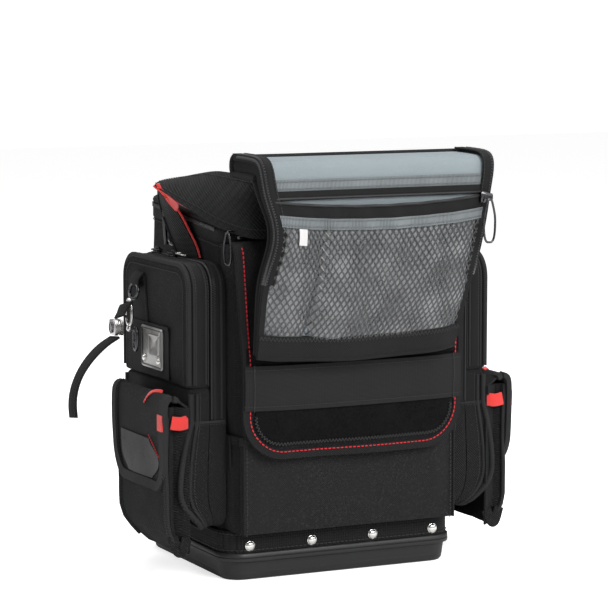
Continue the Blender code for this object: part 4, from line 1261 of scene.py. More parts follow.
def pocket_strip(name, t0, t1, lift, mat, thickness, reach=0.955, rows=6):
    across = np.linspace(-reach, reach, 76)
    points = [pocket_point(np.full(76, t), across, lift) for t in np.linspace(t0, t1, rows)]
    return sheet(name, points, mat, "lid", thickness, (0, -1, 0)), np.array(points)


def build_net():
    """Diamond net strands, each knot a crossing of two strands, on a crumpled clear film."""
    t0, t1, reach = 0.155, 0.972, 0.955
    across = 2 * lid_half(0.28)[0] * reach
    cell, tall = 5.6 * MM, 4.4 * MM
    cols, rows = int(across / cell), int(0.130 * (t1 - t0) / tall)
    verts, faces = [], []
    for i in range(rows):
        for j in range(cols + 1):
            shift = 0.5 if i % 2 else 0.0
            for step in (-0.5, 0.5):
                u0, u1 = (j + shift) / cols * 2 - 1, (j + shift + step) / cols * 2 - 1
                if max(abs(u0), abs(u1)) > 1.0:
                    continue
                ends = [(t0 + (t1 - t0) * i / rows, u0 * reach), (t0 + (t1 - t0) * (i + 1) / rows, u1 * reach)]
                add_strand(verts, faces, ends)
    net = link("lid_net", verts, faces, M["net"], "lid")
    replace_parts(net, "lid_mesh_pocket")
    across = np.linspace(-0.955, 0.955, 90)
    film = [pocket_point(np.full(90, t), across, -0.0006) for t in np.linspace(0.10, 1.0, 60)]
    film = np.array(film)
    film[:, :, 1] += ripple(film, 0.0016, 45.0, 6.0)
    sheet("lid_film", film, M["film"], "lid", 0.0004, (0, -1, 0))


def add_strand(verts, faces, ends):
    """One straight piece of net, square in section, between two (t, u) places."""
    a = pocket_point(*ends[0], 0.0004)
    b = pocket_point(*ends[1], 0.0004)
    run = unit(b - a)
    out = np.array([0.0, -1.0, 0.0])
    side = unit(np.cross(run, out))
    radius = 0.00048
    first = len(verts)
    for end, push in ((a - run * 0.0003, 1), (b + run * 0.0003, 1)):
        for s, n in ((-1, -1), (1, -1), (1, 1), (-1, 1)):
            verts.append(end + side * radius * s + out * radius * 0.8 * n * push)
    for k in range(4):
        j = (k + 1) % 4
        faces.append((first + k, first + j, first + 4 + j, first + 4 + k))
    faces.append((first + 3, first + 2, first + 1, first))
    faces.append((first + 4, first + 5, first + 6, first + 7))


def build_lid_pocket():
    strip, points = pocket_strip("lid_zip_tape_low", 0.0, 0.105, 0.0006, M["zip_tape"], 0.0014)
    sweep("lid_zip_coil_low", resample(points[0], 1.2 * MM), circle(0.0014, 8), M["teeth"], "lid", normals=(0, -1, 0))
    strip, points = pocket_strip("lid_tape_low", 0.088, 0.168, 0.0020, M["grey_tape"], 0.0012)
    for label, row in (("a", 1), ("b", -2)):
        zigzag(f"lid_tape_low_thread_{label}", points[row] + np.array([0, -0.0003, 0]), (0, -1, 0), M["grey_thread"], "lid",
               0.8 * MM, 1.5 * MM, 0.45 * MM)
    build_net()
    rows = []
    across = np.linspace(-1.0, 1.0, 80)
    for s in np.linspace(share_at(0.2300), 1.0, 8):
        rows.append(lid_point(np.full(80, s), across, 0.0036))
    sheet("lid_end_band", rows, M["binding"], "lid", 0.0052, (0, -1, 0))
    rows = np.array(rows)
    zigzag("lid_end_zigzag", rows[1] + np.array([0, -0.0004, 0]), (0, -1, 0), M["thread"], "lid", 1.8 * MM, 1.8 * MM, 0.55 * MM)
    sweep("lid_end_roll", rows[-1] + np.array([0, 0.0020, 0.0002]), circle(0.0028, 10), M["binding"], "lid", normals=(0, -1, 0))
    tag = [pocket_point(np.full(8, t), np.linspace(-0.80, -0.715, 8), 0.0030) for t in np.linspace(0.17, 0.285, 6)]
    sheet("lid_plain_tag", tag, M["tag"], "lid", 0.0006, (0, -1, 0))


def lid_edge(side, s0, s1, lift=0.0, inset=0.0, count=120):
    """A line down the lid's left or right edge."""
    shares = np.linspace(s0, s1, count)
    points = lid_point(shares, np.full(count, side * (1 - inset)), lift)
    return points


def build_lid_edges():
    """Binding round the lid, and on each side the zip that closes it to the body."""
    for side, label in ((-1, "left"), (1, "right")):
        line = lid_edge(side, 0.0, 1.0, 0.0008, 0.020, 220)
        normals = unit(np.column_stack([np.zeros(220), np.interp(np.linspace(0, 1, 220), CURVE_S, CURVE_NORMAL[:, 0]),
                                        np.interp(np.linspace(0, 1, 220), CURVE_S, CURVE_NORMAL[:, 1])]))
        slim = np.interp(np.linspace(0, 1, 220), [0, share_at(0.300), share_at(0.262), 1], [1.0, 1.0, 0.68, 0.68])
        sweep(f"lid_binding_{label}", line, pad_profile(0.0080, 0.0062), M["binding"], "lid", normals=normals, taper=slim)
        ends = share_at(0.275)
        tape = lid_edge(side, 0.02, ends, 0.0034, 0.046, 150)
        tape_normals = nearest(line, normals, tape)
        sweep(f"lid_side_tape_{label}", tape, pad_profile(0.0090, 0.0012), M["zip_tape"], "lid", normals=tape_normals)
        teeth = lid_edge(side, 0.05, ends, 0.0022, -0.004, 150)
        corner = unit(tape_normals + np.array([side * 1.1, 0, 0]))
        sweep(f"lid_side_cord_{label}", teeth - corner * 0.0008, circle(0.0014, 8), M["binding"], "lid", normals=corner)
        # the side teeth use the lighter grey of the painted highlight
        zip_teeth(f"lid_side_teeth_{label}", teeth, corner, M["edge_teeth_painted_highlight"], "lid", 2.4 * MM, 0.5 * MM,
                  (1.0 * MM, 4.4 * MM, 2.2 * MM))
        seam = lid_edge(side, 0.02, ends, 0.0042, 0.075, 150)
        stitches(f"lid_side_seam_{label}", seam, tape_normals, M["thread"], "lid", 3.2 * MM, 2.3 * MM, 0.6 * MM)
    roll = lid_point(np.zeros(60), np.linspace(-1, 1, 60), -0.0010)
    sweep("lid_hinge_roll", roll, circle(0.0036, 12), M["binding"], "lid", normals=(0, 0, 1))


def wing_depth(s):
    """How far the lid's side walls reach back from its face: deepest at the brow, gone at the free edge."""
    return np.interp(s, [0.0, 0.18, 0.30, 0.42, 0.70, 1.0], [0.0150, 0.0150, 0.0175, 0.0150, 0.0100, 0.0030])


def build_lid_wings():
    shares = np.linspace(0, 1, 130)
    for side, label in ((-1, "left"), (1, "right")):
        normal = np.column_stack([np.zeros(130), np.interp(shares, CURVE_S, CURVE_NORMAL[:, 0]),
                                  np.interp(shares, CURVE_S, CURVE_NORMAL[:, 1])])
        edge = lid_point(shares, np.full(130, side * 0.994))
        rows = []
        for i, s in enumerate(shares):
            depth = wing_depth(s)
            rows.append([edge[i] - normal[i] * depth * k + np.array([side * 0.0012 * math.sin(math.pi * k), 0, 0])
                         for k in np.linspace(0, 1, 9)])
        rows = np.array(rows)
        sheet(f"lid_wing_{label}", rows, M["canvas"], "lid", 0.0022, (side, 0, 0))
        rim = resample(rows[:, -1], 1.6 * MM)
        thick = np.interp(np.linspace(0, 1, len(rim)), [0, 0.25, 0.45, 1], [1.5, 1.4, 1.0, 1.0])
        sweep(f"lid_wing_rim_{label}", rim, circle(0.0023, 10), M["binding"], "lid", normals=(side, 0, 0), taper=thick)
        hollow = 0.5 * (rows[0][0] + rows[0][-1])
        half = 0.5 * float(np.linalg.norm(rows[0][0] - rows[0][-1]))
        bend = [hollow + np.array([0, 0.55 * half * math.cos(a), half * math.sin(a)]) for a in np.linspace(-1.57, 1.57, 22)]
        sweep(f"lid_end_curl_{label}", bend, circle(0.0033, 10), M["binding"], "lid", normals=(side, 0, 0))


def build_lid_zip_hardware():
    low, high = extent("lid_zip_slider")
    slider_piece("lid_slider", (low + high) / 2, (-1, 0, 0), (0, -1, 0), "lid_slider", "lid_zip_slider", 1.15)
    low, high = extent("lid_zip_pull")
    wire_pull("lid_wire_pull", low, high, 0, "lid_pull", "lid_zip_pull")


def slider_piece(name, centre, along, out, body, node, scale=1.0):
    """A zip slider: a waisted body with two wings and a bridge for its pull."""
    along, out = unit(along), unit(out)
    side = np.cross(along, out)
    centre = np.asarray(centre, float)
    outline = [(-5.2, 1.6), (-4.6, 2.8), (-1.5, 3.2), (1.5, 4.3), (4.6, 4.2), (5.4, 2.8)]
    outline += [(a, -b) for a, b in reversed(outline)]
    rings = []
    for lift, grow in ((-1.9, 0.86), (-1.5, 1.0), (-0.6, 1.0), (-0.5, 0.72), (0.5, 0.72), (0.6, 1.0), (1.4, 1.0), (1.8, 0.84)):
        ring_points = [centre + (along * a * grow + side * b * grow + out * lift) * scale * MM for a, b in outline]
        rings.append(ring_points)
    body_piece = loft(name, rings, M["gunmetal"], body)
    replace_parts(body_piece, node)
    bridge = [centre + (along * a + out * b) * scale * MM for a, b in
              ((-3.4, 1.6), (-3.0, 2.6), (-1.6, 3.1), (1.2, 3.1), (2.8, 2.5), (3.2, 1.6))]
    sweep(f"{name}_bridge", rounded(bridge, 2), pad_profile(0.0022 * scale, 0.0009 * scale), M["gunmetal"], body, normals=tuple(out))


def wire_pull(name, low, high, flat_axis, body, node):
    """A bent wire loop with straight legs and a pinched top."""
    centre = (low + high) / 2
    half = (high - low) / 2
    wide = 0 if flat_axis == 0 else 1
    radius = 0.00105
    half_w, half_h = half[wide] - radius, half[2] - radius
    outline = []
    for i in range(48):
        angle = 2 * math.pi * i / 48
        x = half_w * math.copysign(abs(math.cos(angle)) ** 0.6, math.cos(angle))
        z = half_h * math.copysign(abs(math.sin(angle)) ** 0.75, math.sin(angle))
        pinch = 0.62 + 0.38 * smooth((half_h - z) / half_h)
        outline.append((x * float(pinch), z))
    points = []
    for x, z in outline:
        point = centre.copy()
        if flat_axis == 0:
            point[0] += x
        else:
            point[0] -= x * 0.6
            point[1] += x * 0.8
        point[2] += z
        points.append(point)
    loop = sweep(name, points, circle(radius, 10), M["gunmetal"], body, closed=True)
    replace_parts(loop, node)


def build_gusset():
    """Cloth between the body's front rim and the lid's hinge seam, pleated a little."""
    low, high = extent("lid_hinge_gusset")
    across = np.linspace(low[0], high[0], 60)
    rows = []
    for z in np.linspace(low[2], high[2], 20):
        share = (z - low[2]) / (high[2] - low[2])
        y = low[1] + 0.0012 + 0.0012 * np.sin(across * 95) * math.sin(math.pi * share)
        rows.append(np.column_stack([across, y, np.full(60, z)]))
    piece = sheet("lid_gusset_cloth", rows, M["canvas"], "bag", 0.0026, (0, -1, 0))
    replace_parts(piece, "lid_hinge_gusset")
    line = np.array(rows)[-2]
    stitches("lid_gusset_stitches", line + np.array([0, -0.0004, 0]), (0, -1, 0), M["thread"], "bag", 3.4 * MM, 2.4 * MM)


# ---- side pockets -------------------------------------------------------------------------------
SIDES = ((-1, "left"), (1, "right"))


def outline_yz(low_y, high_y, low_z, high_z, radii, step=2.6 * MM):
    """(y, z) round a rectangle whose corners (front-low, front-high, back-high, back-low) are rounded."""
    corners = ((low_y, low_z, 1, 1), (low_y, high_z, 1, -1), (high_y, high_z, -1, -1), (high_y, low_z, -1, 1))
    starts = (270, 180, 90, 0)
    points = []
    for (y, z, in_y, in_z), radius, start in zip(corners, radii, starts):
        centre = (y + in_y * radius, z + in_z * radius)
        for k in range(9):
            angle = math.radians(start - 90 * k / 8)
            points.append((centre[0] + radius * math.cos(angle), centre[1] + radius * math.sin(angle), 0.0))
    return resample(points, step, closed=True)[:, :2]


def inset_outline(outline, amount):
    """The outline moved in by `amount`, kept simple by pulling towards its middle line."""
    following, before = np.roll(outline, -1, axis=0), np.roll(outline, 1, axis=0)
    run = unit(following - before)
    inward = np.column_stack([run[:, 1], -run[:, 0]])
    centre = outline.mean(axis=0)
    facing = np.sign(((centre - outline) * inward).sum())
    return outline + inward * facing * amount


def shrink(outline, share):
    centre = (outline.max(axis=0) + outline.min(axis=0)) / 2
    return centre + (outline - centre) * share


def lifted(outline, x):
    return np.column_stack([np.full(len(outline), x), outline[:, 0], outline[:, 1]])


POCKET_ROOT = 0.1140       # the side pockets start this far from the middle
SEAM_Z = 0.1475            # the seam across a side pocket's front, at the foot of its zip


def waist(points, side):
    """Draws the foot of a side pocket in towards the body, and swells its front corner below the seam."""
    points = points.copy()
    x = np.abs(points[:, 0])
    reach = np.clip((x - POCKET_ROOT) / 0.036, 0, 1)
    foot = smooth((0.088 - points[:, 2]) / 0.050)
    x = x - (x - POCKET_ROOT) * 0.62 * foot ** 1.8
    below = np.clip((SEAM_Z - points[:, 2]) / 0.062, 0, 1)
    near_front = smooth(1 - (points[:, 1] - extent("left_pocket_cover")[0][1]) / 0.050)
    x = x + 0.0115 * np.sin(0.5 * math.pi * below) * (1 - foot) * reach ** 2 * near_front
    points[:, 0] = side * x
    return points


def dome_rings(side, outline, near, far, bulge, seed, thick=0.0024):
    """Rings of a hollow cushion-shaped shell: over its outer face, round its edge, and back inside."""
    outer = []
    for share, rise in ((0.02, 1.0), (0.25, 0.96), (0.5, 0.86), (0.7, 0.68), (0.84, 0.46), (0.93, 0.25)):
        ring_points = lifted(shrink(outline, share), far - 0.0012 + bulge * rise)
        ring_points[:, 0] += ripple(ring_points, 0.0014, 22.0, seed)
        outer.append(ring_points)
    for inset, drop in ((0.0016, 0.0010), (0.0004, 0.0024), (0.0, 0.0045)):
        outer.append(lifted(inset_outline(outline, inset), far - drop))
    steps = 5
    for k in range(steps + 1):
        x = far - 0.0045 + (near - far + 0.0045) * k / steps
        swell = 0.0006 * math.sin(math.pi * k / steps)
        outer.append(lifted(inset_outline(outline, -swell), x))
    inner = [lifted(inset_outline(outline, thick), near), lifted(inset_outline(outline, thick), far - 0.005)]
    for share, rise in ((0.9, 0.3), (0.5, 0.8), (0.02, 0.95)):
        inner.append(lifted(shrink(outline, share), far - 0.0012 - thick + bulge * rise))
    rings = []
    for ring_points in outer + inner:
        ring_points = ring_points.copy()
        ring_points[:, 0] *= side
        rings.append(waist(ring_points, side))
    return rings


def build_side_pocket(side, label):
    cover_low, cover_high = extent(f"{label}_pocket_cover")
    shell_low, shell_high = extent(f"{label}_pocket_shell")
    far = max(abs(cover_low[0]), abs(cover_high[0]))
    seam = min(abs(cover_low[0]), abs(cover_high[0]))
    front, back = cover_low[1], cover_high[1]
    low, split, high = shell_low[2], cover_low[2], cover_high[2]
    round_top, square = 0.022, 0.0030
    whole = outline_yz(front, back, low, high, (0.016, round_top, round_top, 0.016))
    rings = [lifted(inset_outline(whole, d), x) for d, x in
             ((0.0, 0.1142), (-0.0005, 0.118), (0.0, seam - 0.0018), (0.0002, seam - 0.0006), (0.0026, seam - 0.0006), (0.0026, 0.1168))]
    rings.append(lifted(shrink(whole, 0.02), 0.1168))
    rings = [lifted(shrink(whole, 0.02), 0.1142)] + rings
    for ring_points in rings:
        ring_points[:, 0] *= side
    shell = loft(f"{label}_pocket_inner", [waist(r, side) for r in rings], M["canvas"], "bag")
    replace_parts(shell, f"{label}_pocket_shell")
    lower = outline_yz(front, back, low, split - 0.0004, (0.016, square, square, 0.016))
    piece = loft(f"{label}_pocket_lower_shell", dome_rings(side, lower, seam, far - 0.002, 0.0014, 12.0 + side), M["canvas"], "bag")
    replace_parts(piece, f"{label}_pocket_lower")
    upper = outline_yz(front, back, split + 0.0002, high, (square, round_top, round_top, square))
    body = f"{label}_cover"
    cover = loft(f"{label}_pocket_cover_shell", dome_rings(side, upper, seam + 0.0003, far, 0.0022, 20.0 + side), M["canvas"], body)
    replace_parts(cover, f"{label}_pocket_cover")
    trim_pocket(side, label, upper, lower, whole, far, seam, split)


def arc_of(outline, keep):
    """The longest unbroken run of an outline's points that pass `keep`."""
    flags = np.array([keep(y, z) for y, z in outline])
    start = next(i for i in range(len(flags)) if flags[i] and not flags[i - 1])
    picked = []
    for k in range(len(flags)):
        index = (start + k) % len(flags)
        if not flags[index]:
            break
        picked.append(outline[index])
    return np.array(picked)


def outward_of(outline_run):
    run = unit(np.gradient(outline_run, axis=0))
    away = np.column_stack([-run[:, 1], run[:, 0]])
    centre = (outline_run.max(axis=0) + outline_run.min(axis=0)) / 2
    return away * np.sign(((outline_run - centre) * away).sum())


def edge_line(side, run, x, lift):
    """A line round a pocket's edge at distance x from the middle, `lift` off its side wall."""
    away = outward_of(run)
    points = np.column_stack([np.full(len(run), side * x), run + away * lift])
    normals = np.column_stack([np.zeros(len(run)), away])
    return waist(points, side), normals


def trim_pocket(side, label, upper, lower, whole, far, seam, split):
    body = f"{label}_cover"
    upper_run = arc_of(upper, lambda y, z: z > split + 0.0030)
    line, normals = edge_line(side, upper_run, far - 0.0020, 0.0004)
    normals = unit(normals + np.array([side * 0.9, 0, 0]))
    sweep(f"{label}_cover_piping", line, circle(0.0024, 12), M["piping"], body, normals=normals)
    face = lifted(upper_run - outward_of(upper_run) * 0.0070, far + 0.0003)
    face[:, 0] *= side
    stitches(f"{label}_cover_topstitch", face, (side, 0, 0), M["thread"], body, 3.2 * MM, 2.3 * MM, 0.7 * MM)
    for name, x in (("outer", far - 0.0068), ("inner", seam + 0.0036)):
        line, normals = edge_line(side, upper_run, x, 0.0006)
        sweep(f"{label}_cover_ridge_{name}", line, circle(0.0013, 8), M["piping"], body, normals=normals)
        line, normals = edge_line(side, upper_run, x - 0.0021, 0.0009)
        stitches(f"{label}_cover_ridge_stitches_{name}", line, normals, M["thread"], body, 3.0 * MM, 2.1 * MM, 0.6 * MM)
    line, normals = edge_line(side, upper_run, (far + seam) / 2 - 0.001, 0.0004)
    sweep(f"{label}_cover_zip_flap", line, pad_profile(0.0105, 0.0012), M["zip_tape"], body, normals=normals)
    whole_run = arc_of(whole, lambda y, z: z > 0.149)
    line, normals = edge_line(side, whole_run, seam - 0.0045, 0.0005)
    sweep(f"{label}_zip_tape", line, pad_profile(0.0080, 0.0012), M["zip_tape"], "bag", normals=normals)
    line, normals = edge_line(side, whole_run, seam - 0.0014, 0.0015)
    sweep(f"{label}_zip_coil", line, circle(0.0011, 8), M["teeth"], "bag", normals=normals)
    line, normals = edge_line(side, whole_run, seam - 0.0042, 0.0013)
    zip_teeth(f"{label}_zip_teeth", line, normals, M["teeth"], "bag", 2.2 * MM, 0.7 * MM, (0.9 * MM, 1.8 * MM, 1.0 * MM))
    line, normals = edge_line(side, whole_run, 0.1185, 0.0004)
    sweep(f"{label}_zip_ridge", line, circle(0.0013, 8), M["piping"], "bag", normals=normals)
    foot_run = arc_of(lower, lambda y, z: z < split - 0.0036)
    line, normals = edge_line(side, foot_run, far - 0.0036, 0.0006)
    normals = unit(normals + np.array([side * 0.9, 0, 0]))
    sweep(f"{label}_foot_piping", line, circle(0.0026, 12), M["piping"], "bag", normals=normals)
    line, normals = edge_line(side, foot_run, far - 0.0095, 0.0004)
    sweep(f"{label}_foot_ridge", line, circle(0.0017, 10), M["piping"], "bag", normals=normals)
    line, normals = edge_line(side, foot_run, far - 0.0125, 0.0008)
    stitches(f"{label}_foot_stitches", line, normals, M["thread"], "bag", 3.0 * MM, 2.1 * MM, 0.6 * MM)
    across = np.array([(side * x, whole[:, 0].min() - 0.0007, SEAM_Z) for x in np.linspace(0.1150, far - 0.005, 20)])
    sweep(f"{label}_front_seam", waist(across, side), pad_profile(0.0026, 0.0016), M["piping"], "bag", normals=(0, -1, 0))
    stitches(f"{label}_front_seam_stitches", waist(across, side) + np.array([0, -0.0006, -0.0022]), (0, -1, 0), M["thread"],
             "bag", 2.8 * MM, 2.0 * MM, 0.6 * MM)


def build_cover_patch():
    """Webbing panel on the left cover that carries the clip plate, with a strip up to the tether."""
    low, high = extent("clip_plate")
    face = -0.1522
    rows = []
    for z in np.linspace(high[2] + 0.0015, 0.1815, 14):
        y = np.linspace(low[1] - 0.0110, high[1] + 0.030, 20)
        rows.append(np.column_stack([np.full(20, face - 0.0016), y, np.full(20, z)]))
    sheet("clip_webbing_panel", rows, M["webbing"], "left_cover", 0.0018, (-1, 0, 0))
    edge = np.array(rows)[0]
    sweep("clip_panel_edge", edge, pad_profile(0.0030, 0.0016), M["binding"], "left_cover", normals=(-1, 0, 0))
    rows = []
    for share in np.linspace(0, 1, 16):
        z = 0.2700 - 0.046 * share
        y = np.linspace(0.000 - 0.008 * share, 0.024 + 0.004 * share, 12)
        rows.append(np.column_stack([np.full(12, face - 0.0014), y, np.full(12, z)]))
    sheet("tether_backing", rows, M["webbing"], "left_cover", 0.0016, (-1, 0, 0))
    grid = np.array(rows)
    stitches("tether_backing_seam", grid[:, 1] + np.array([-0.0004, 0, 0]), (-1, 0, 0), M["thread"], "left_cover", 3 * MM, 2.1 * MM)


def build_zip_sliders(side, label):
    for where in ("rear", "front"):
        low, high = extent(f"{label}_zip_slider_{where}")
        centre = (low + high) / 2
        slider_piece(f"{label}_slider_{where}_body", centre + np.array([0, 0, -0.0006]), (0, 1, 0), (0, 0, 1),
                     f"{label}_slider_{where}", f"{label}_zip_slider_{where}", 1.15)
    low, high = extent(f"{label}_zip_pull")
    centre = (low + high) / 2
    outline = [(0.0, 1.9), (3.0, 2.4), (9.5, 2.5), (16.5, 2.9), (19.6, 2.4), (20.6, 0.9)]
    outline += [(a, -b) for a, b in reversed(outline)]
    rings = []
    for lift, grow in ((-0.8, 0.9), (-0.5, 1.0), (0.5, 1.0), (0.8, 0.9)):
        rings.append([(centre[0] + b * grow * MM, high[1] - a * MM, centre[2] + lift * MM) for a, b in outline])
    pull = loft(f"{label}_pull_tab", rings, M["steel"], f"{label}_pull")
    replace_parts(pull, f"{label}_zip_pull")
    ring_points = [(centre[0] + 1.7 * MM * math.cos(a), high[1] - 0.0046 + 3.0 * MM * math.sin(a), centre[2] + 0.0009)
                   for a in np.linspace(0, 2 * math.pi, 24, endpoint=False)]
    sweep(f"{label}_pull_rib", ring_points, circle(0.00045, 6), M["steel"], f"{label}_pull", normals=(0, 0, 1), closed=True)


# ---- lower pouches ------------------------------------------------------------------------------
def pouch_plan(low_y, high_y, near, far):
    """A pouch seen from above: rear seam, rear bellows, outer panel, front bellows, front seam."""
    rear = [(near, high_y + 0.0020), (near + 0.006, high_y - 0.0015), (near + 0.012, high_y - 0.0060),
            (near + 0.018, high_y - 0.0025), (far - 0.002, high_y + 0.0006), (far + 0.0004, high_y - 0.0016)]
    outer = [(far + 0.0004, y) for y in np.linspace(high_y - 0.006, low_y + 0.006, 30)]
    front = [(x, low_y + high_y - y) for x, y in reversed(rear)]
    return np.array(rear + outer + front)


def build_pouch(side, label):
    low, high = extent(f"{label}_pouch")
    near = min(abs(low[0]), abs(high[0])) + 0.0008
    far = max(abs(low[0]), abs(high[0]))
    plan = pouch_plan(low[1], high[1], near, far)
    rows = []
    heights = np.concatenate([[0, 0.004, 0.010, 0.018, 0.028], np.linspace(0.036, high[2] - low[2], 26)])
    for rise in heights:
        z = low[2] + rise
        shut = 1 - smooth(rise / 0.026) ** 0.7
        row = np.column_stack([plan[:, 0], plan[:, 1], np.full(len(plan), z)])
        share = (row[:, 0] - near) / (far - near)
        row[:, 0] -= (row[:, 0] - near) * 0.60 * shut
        bulge = 0.0022 * math.sin(math.pi * min(rise / 0.09, 1.0))
        middle = smooth((0.5 - np.abs((row[:, 1] - low[1]) / (high[1] - low[1]) - 0.5)) * 6)
        row[:, 0] += bulge * share * middle + ripple(row, 0.0018, 26.0, 31.0 + side) * share
        turn = 1 - min(rise / 0.044, 1.0)
        row[:, 1] = low[1] + (row[:, 1] - low[1]) * (1 - 0.34 * (1 - math.sqrt(max(1 - turn ** 2, 0.0))))
        row[:, 2] += 0.0030 * share * (1 - shut) * np.sin(row[:, 1] * 60) * 0.3
        row[:, 0] *= side
        rows.append(row)
    pouch = sheet(f"{label}_pouch_cloth", rows, M["canvas"], "bag", 0.0018, (side, 0, 0))
    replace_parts(pouch, f"{label}_pouch")
    grid = np.array(rows)
    sweep(f"{label}_pouch_rim", resample(grid[-1], 2.5 * MM), pad_profile(0.0036, 0.0085), M["binding"], "bag", normals=(0, 0, 1))
    for name, col in (("front", -6), ("rear", 5)):
        sweep(f"{label}_pouch_edge_{name}", grid[1:, col], circle(0.0023, 10), M["piping"], "bag", normals=(side, 0, 0))
        inboard = grid[2:, col + (1 if name == "rear" else -1)] + np.array([side * 0.0006, 0, 0])
        stitches(f"{label}_pouch_stitches_{name}", inboard, (side, 0, 0), M["thread"], "bag", 3.2 * MM, 2.2 * MM, 0.6 * MM)
    fold = [(side * (near + 0.002), low[1] + 0.001, low[2] + 0.014), (side * (near + 0.006), low[1] - 0.0015, low[2] + 0.003),
            (side * (far - 0.009), low[1] - 0.0005, low[2] + 0.0015), (side * (far - 0.004), low[1] + 0.001, low[2] + 0.016)]
    sweep(f"{label}_pouch_fold", rounded(fold, 3), pad_profile(0.0100, 0.0026), M["canvas"], "bag", normals=(0, -1, 0))


def pouch_flap_point(side, label, s, u, lift=0.0):
    """The pouch flap: s from its hinge over the top and down its hanging part, u across its width."""
    low, high = extent(f"{label}_pouch_flap")
    near = min(abs(low[0]), abs(high[0]))
    far = max(abs(low[0]), abs(high[0])) - 0.0002
    top = high[2]
    path = rounded([(near, top - 0.0012, 0), (near + 0.007, top + 0.0040, 0), (far - 0.008, top + 0.0105, 0),
                    (far - 0.0005, top + 0.0090, 0), (far + 0.0008, top - 0.004, 0), (far + 0.0008, top - 0.030, 0),
                    (far - 0.0005, low[2] - 0.0045, 0)], 3)
    lengths = np.concatenate([[0], np.cumsum(np.linalg.norm(np.diff(path, axis=0), axis=1))])
    lengths /= lengths[-1]
    s, u = np.broadcast_arrays(np.asarray(s, float), np.asarray(u, float))
    x, z = np.interp(s, lengths, path[:, 0]), np.interp(s, lengths, path[:, 1])
    slope = unit(np.gradient(path[:, :2], axis=0))
    nx = np.interp(s, lengths, -slope[:, 1])
    nz = np.interp(s, lengths, slope[:, 0])
    wave = 0.0012 * np.sin(u * 4.0 + 1.0) * smooth((s - 0.5) / 0.5)
    out = lift + wave
    y = (low[1] + high[1]) / 2 + u * (high[1] - low[1]) / 2
    return np.stack([side * (x + nx * out), y, z + nz * out], axis=-1)


def flap_reach(s):
    """How far across the flap reaches at s: full, then drawn in round its lower corners."""
    drop = np.clip((s - 0.74) / 0.26, 0, 1)
    return 0.985 - 0.36 * (1 - np.sqrt(1 - drop ** 2 * 0.985)) - 0.02 * s


def build_pouch_flap(side, label):
    body = f"{label}_flap"
    shares = np.concatenate([np.linspace(0, 0.74, 34), 0.74 + 0.26 * np.sin(np.linspace(0.06, math.pi / 2, 22))])
    across = np.linspace(-1, 1, 40)
    rows = [pouch_flap_point(side, label, np.full(40, s), across * flap_reach(s), 0.0002) for s in shares]
    piece = sheet(f"{label}_flap_cloth", rows, M["canvas_smooth"], body, 0.0020, (side, 0, 0.4))
    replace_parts(piece, f"{label}_pouch_flap")
    grid = np.array(rows)
    outline = np.vstack([grid[6:, 0], grid[-1, 1:-1], grid[6:, -1][::-1]])
    centre = grid.mean(axis=(0, 1))
    inward = unit(centre - outline) * np.array([0.2, 1, 1]) * 0.0028
    line = resample(outline + inward, 2.2 * MM)
    sweep(f"{label}_flap_binding", line, pad_profile(0.0092, 0.0052, 0.0004), M["piping"], body, normals=(side, 0, 0.15))
    inner_line = resample(outline + inward * 2.9, 2.2 * MM) + np.array([side * 0.0012, 0, 0])
    stitches(f"{label}_flap_stitches", inner_line, (side, 0, 0), M["thread"], body, 3.2 * MM, 2.2 * MM, 0.6 * MM)
    patch = []
    for s in np.linspace(0.60, 0.925, 18):
        low_in = 0.30 * smooth((s - 0.74) / 0.20) ** 2
        front = -0.76 + low_in + 0.34 * (1 - smooth((s - 0.60) / 0.16))
        patch.append(pouch_flap_point(side, label, np.full(24, s), np.linspace(front, 0.70 - low_in, 24), 0.0016))
    sheet(f"{label}_flap_patch", patch, M["rubber"], body, 0.0016, (side, 0, 0))
    slant = pouch_flap_point(side, label, np.linspace(0.575, 0.74, 12), np.linspace(-0.42, -0.80, 12), 0.0016)
    stitches(f"{label}_flap_red_stitches", slant, (side, 0, 0), M["red_thread"], body, 3.0 * MM, 2.2 * MM, 0.8 * MM)
    tape = pouch_flap_point(side, label, np.linspace(0.16, 0.31, 14), np.linspace(-0.50, -0.22, 14), 0.0012)
    sweep(f"{label}_flap_red_tape", tape, pad_profile(0.0036, 0.0010), M["red"], body, normals=(side, 0, 0.9))


def build_red_tab(side, label):
    low, high = extent(f"{label}_red_tab")
    near = min(abs(low[0]), abs(high[0]))
    far = max(abs(low[0]), abs(high[0]))
    z = (low[2] + high[2]) / 2 + 0.003
    path = [(side * (near - 0.003), high[1] + 0.001, z + 0.0005), (side * (near + 0.002), low[1] + 0.0008, z + 0.0004),
            (side * (near + far) / 2, low[1] + 0.0003, z - 0.0008), (side * (far - 0.001), low[1] + 0.0006, z - 0.0002),
            (side * (far + 0.0030), low[1] + 0.0012, z + 0.0006)]
    line = rounded(path, 3)
    tab = sweep(f"{label}_red_webbing", line, pad_profile(high[2] - low[2], 0.0013), M["red"], "bag",
                normals=unit(np.column_stack([np.full(len(line), 0.0), np.full(len(line), -1.0), np.zeros(len(line))])))
    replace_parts(tab, f"{label}_red_tab")
    flap_far = max(abs(extent(f"{label}_pouch_flap")[0][0]), abs(extent(f"{label}_pouch_flap")[1][0]))
    edge_y = extent(f"{label}_pouch_flap")[0][1]
    loop = [(side * (flap_far + 0.0034), edge_y + 0.0050, z + k * 0.0024) for k in np.linspace(-2.8, 3.2, 9)]
    sweep(f"{label}_red_fold", loop, pad_profile(0.0105, 0.0020), M["red"], f"{label}_flap", normals=(side, 0, 0))


# ---- camera, light and floor --------------------------------------------------------------------
WORLD_LIGHT = 0.36
FLOOR_GLOW = 0.64


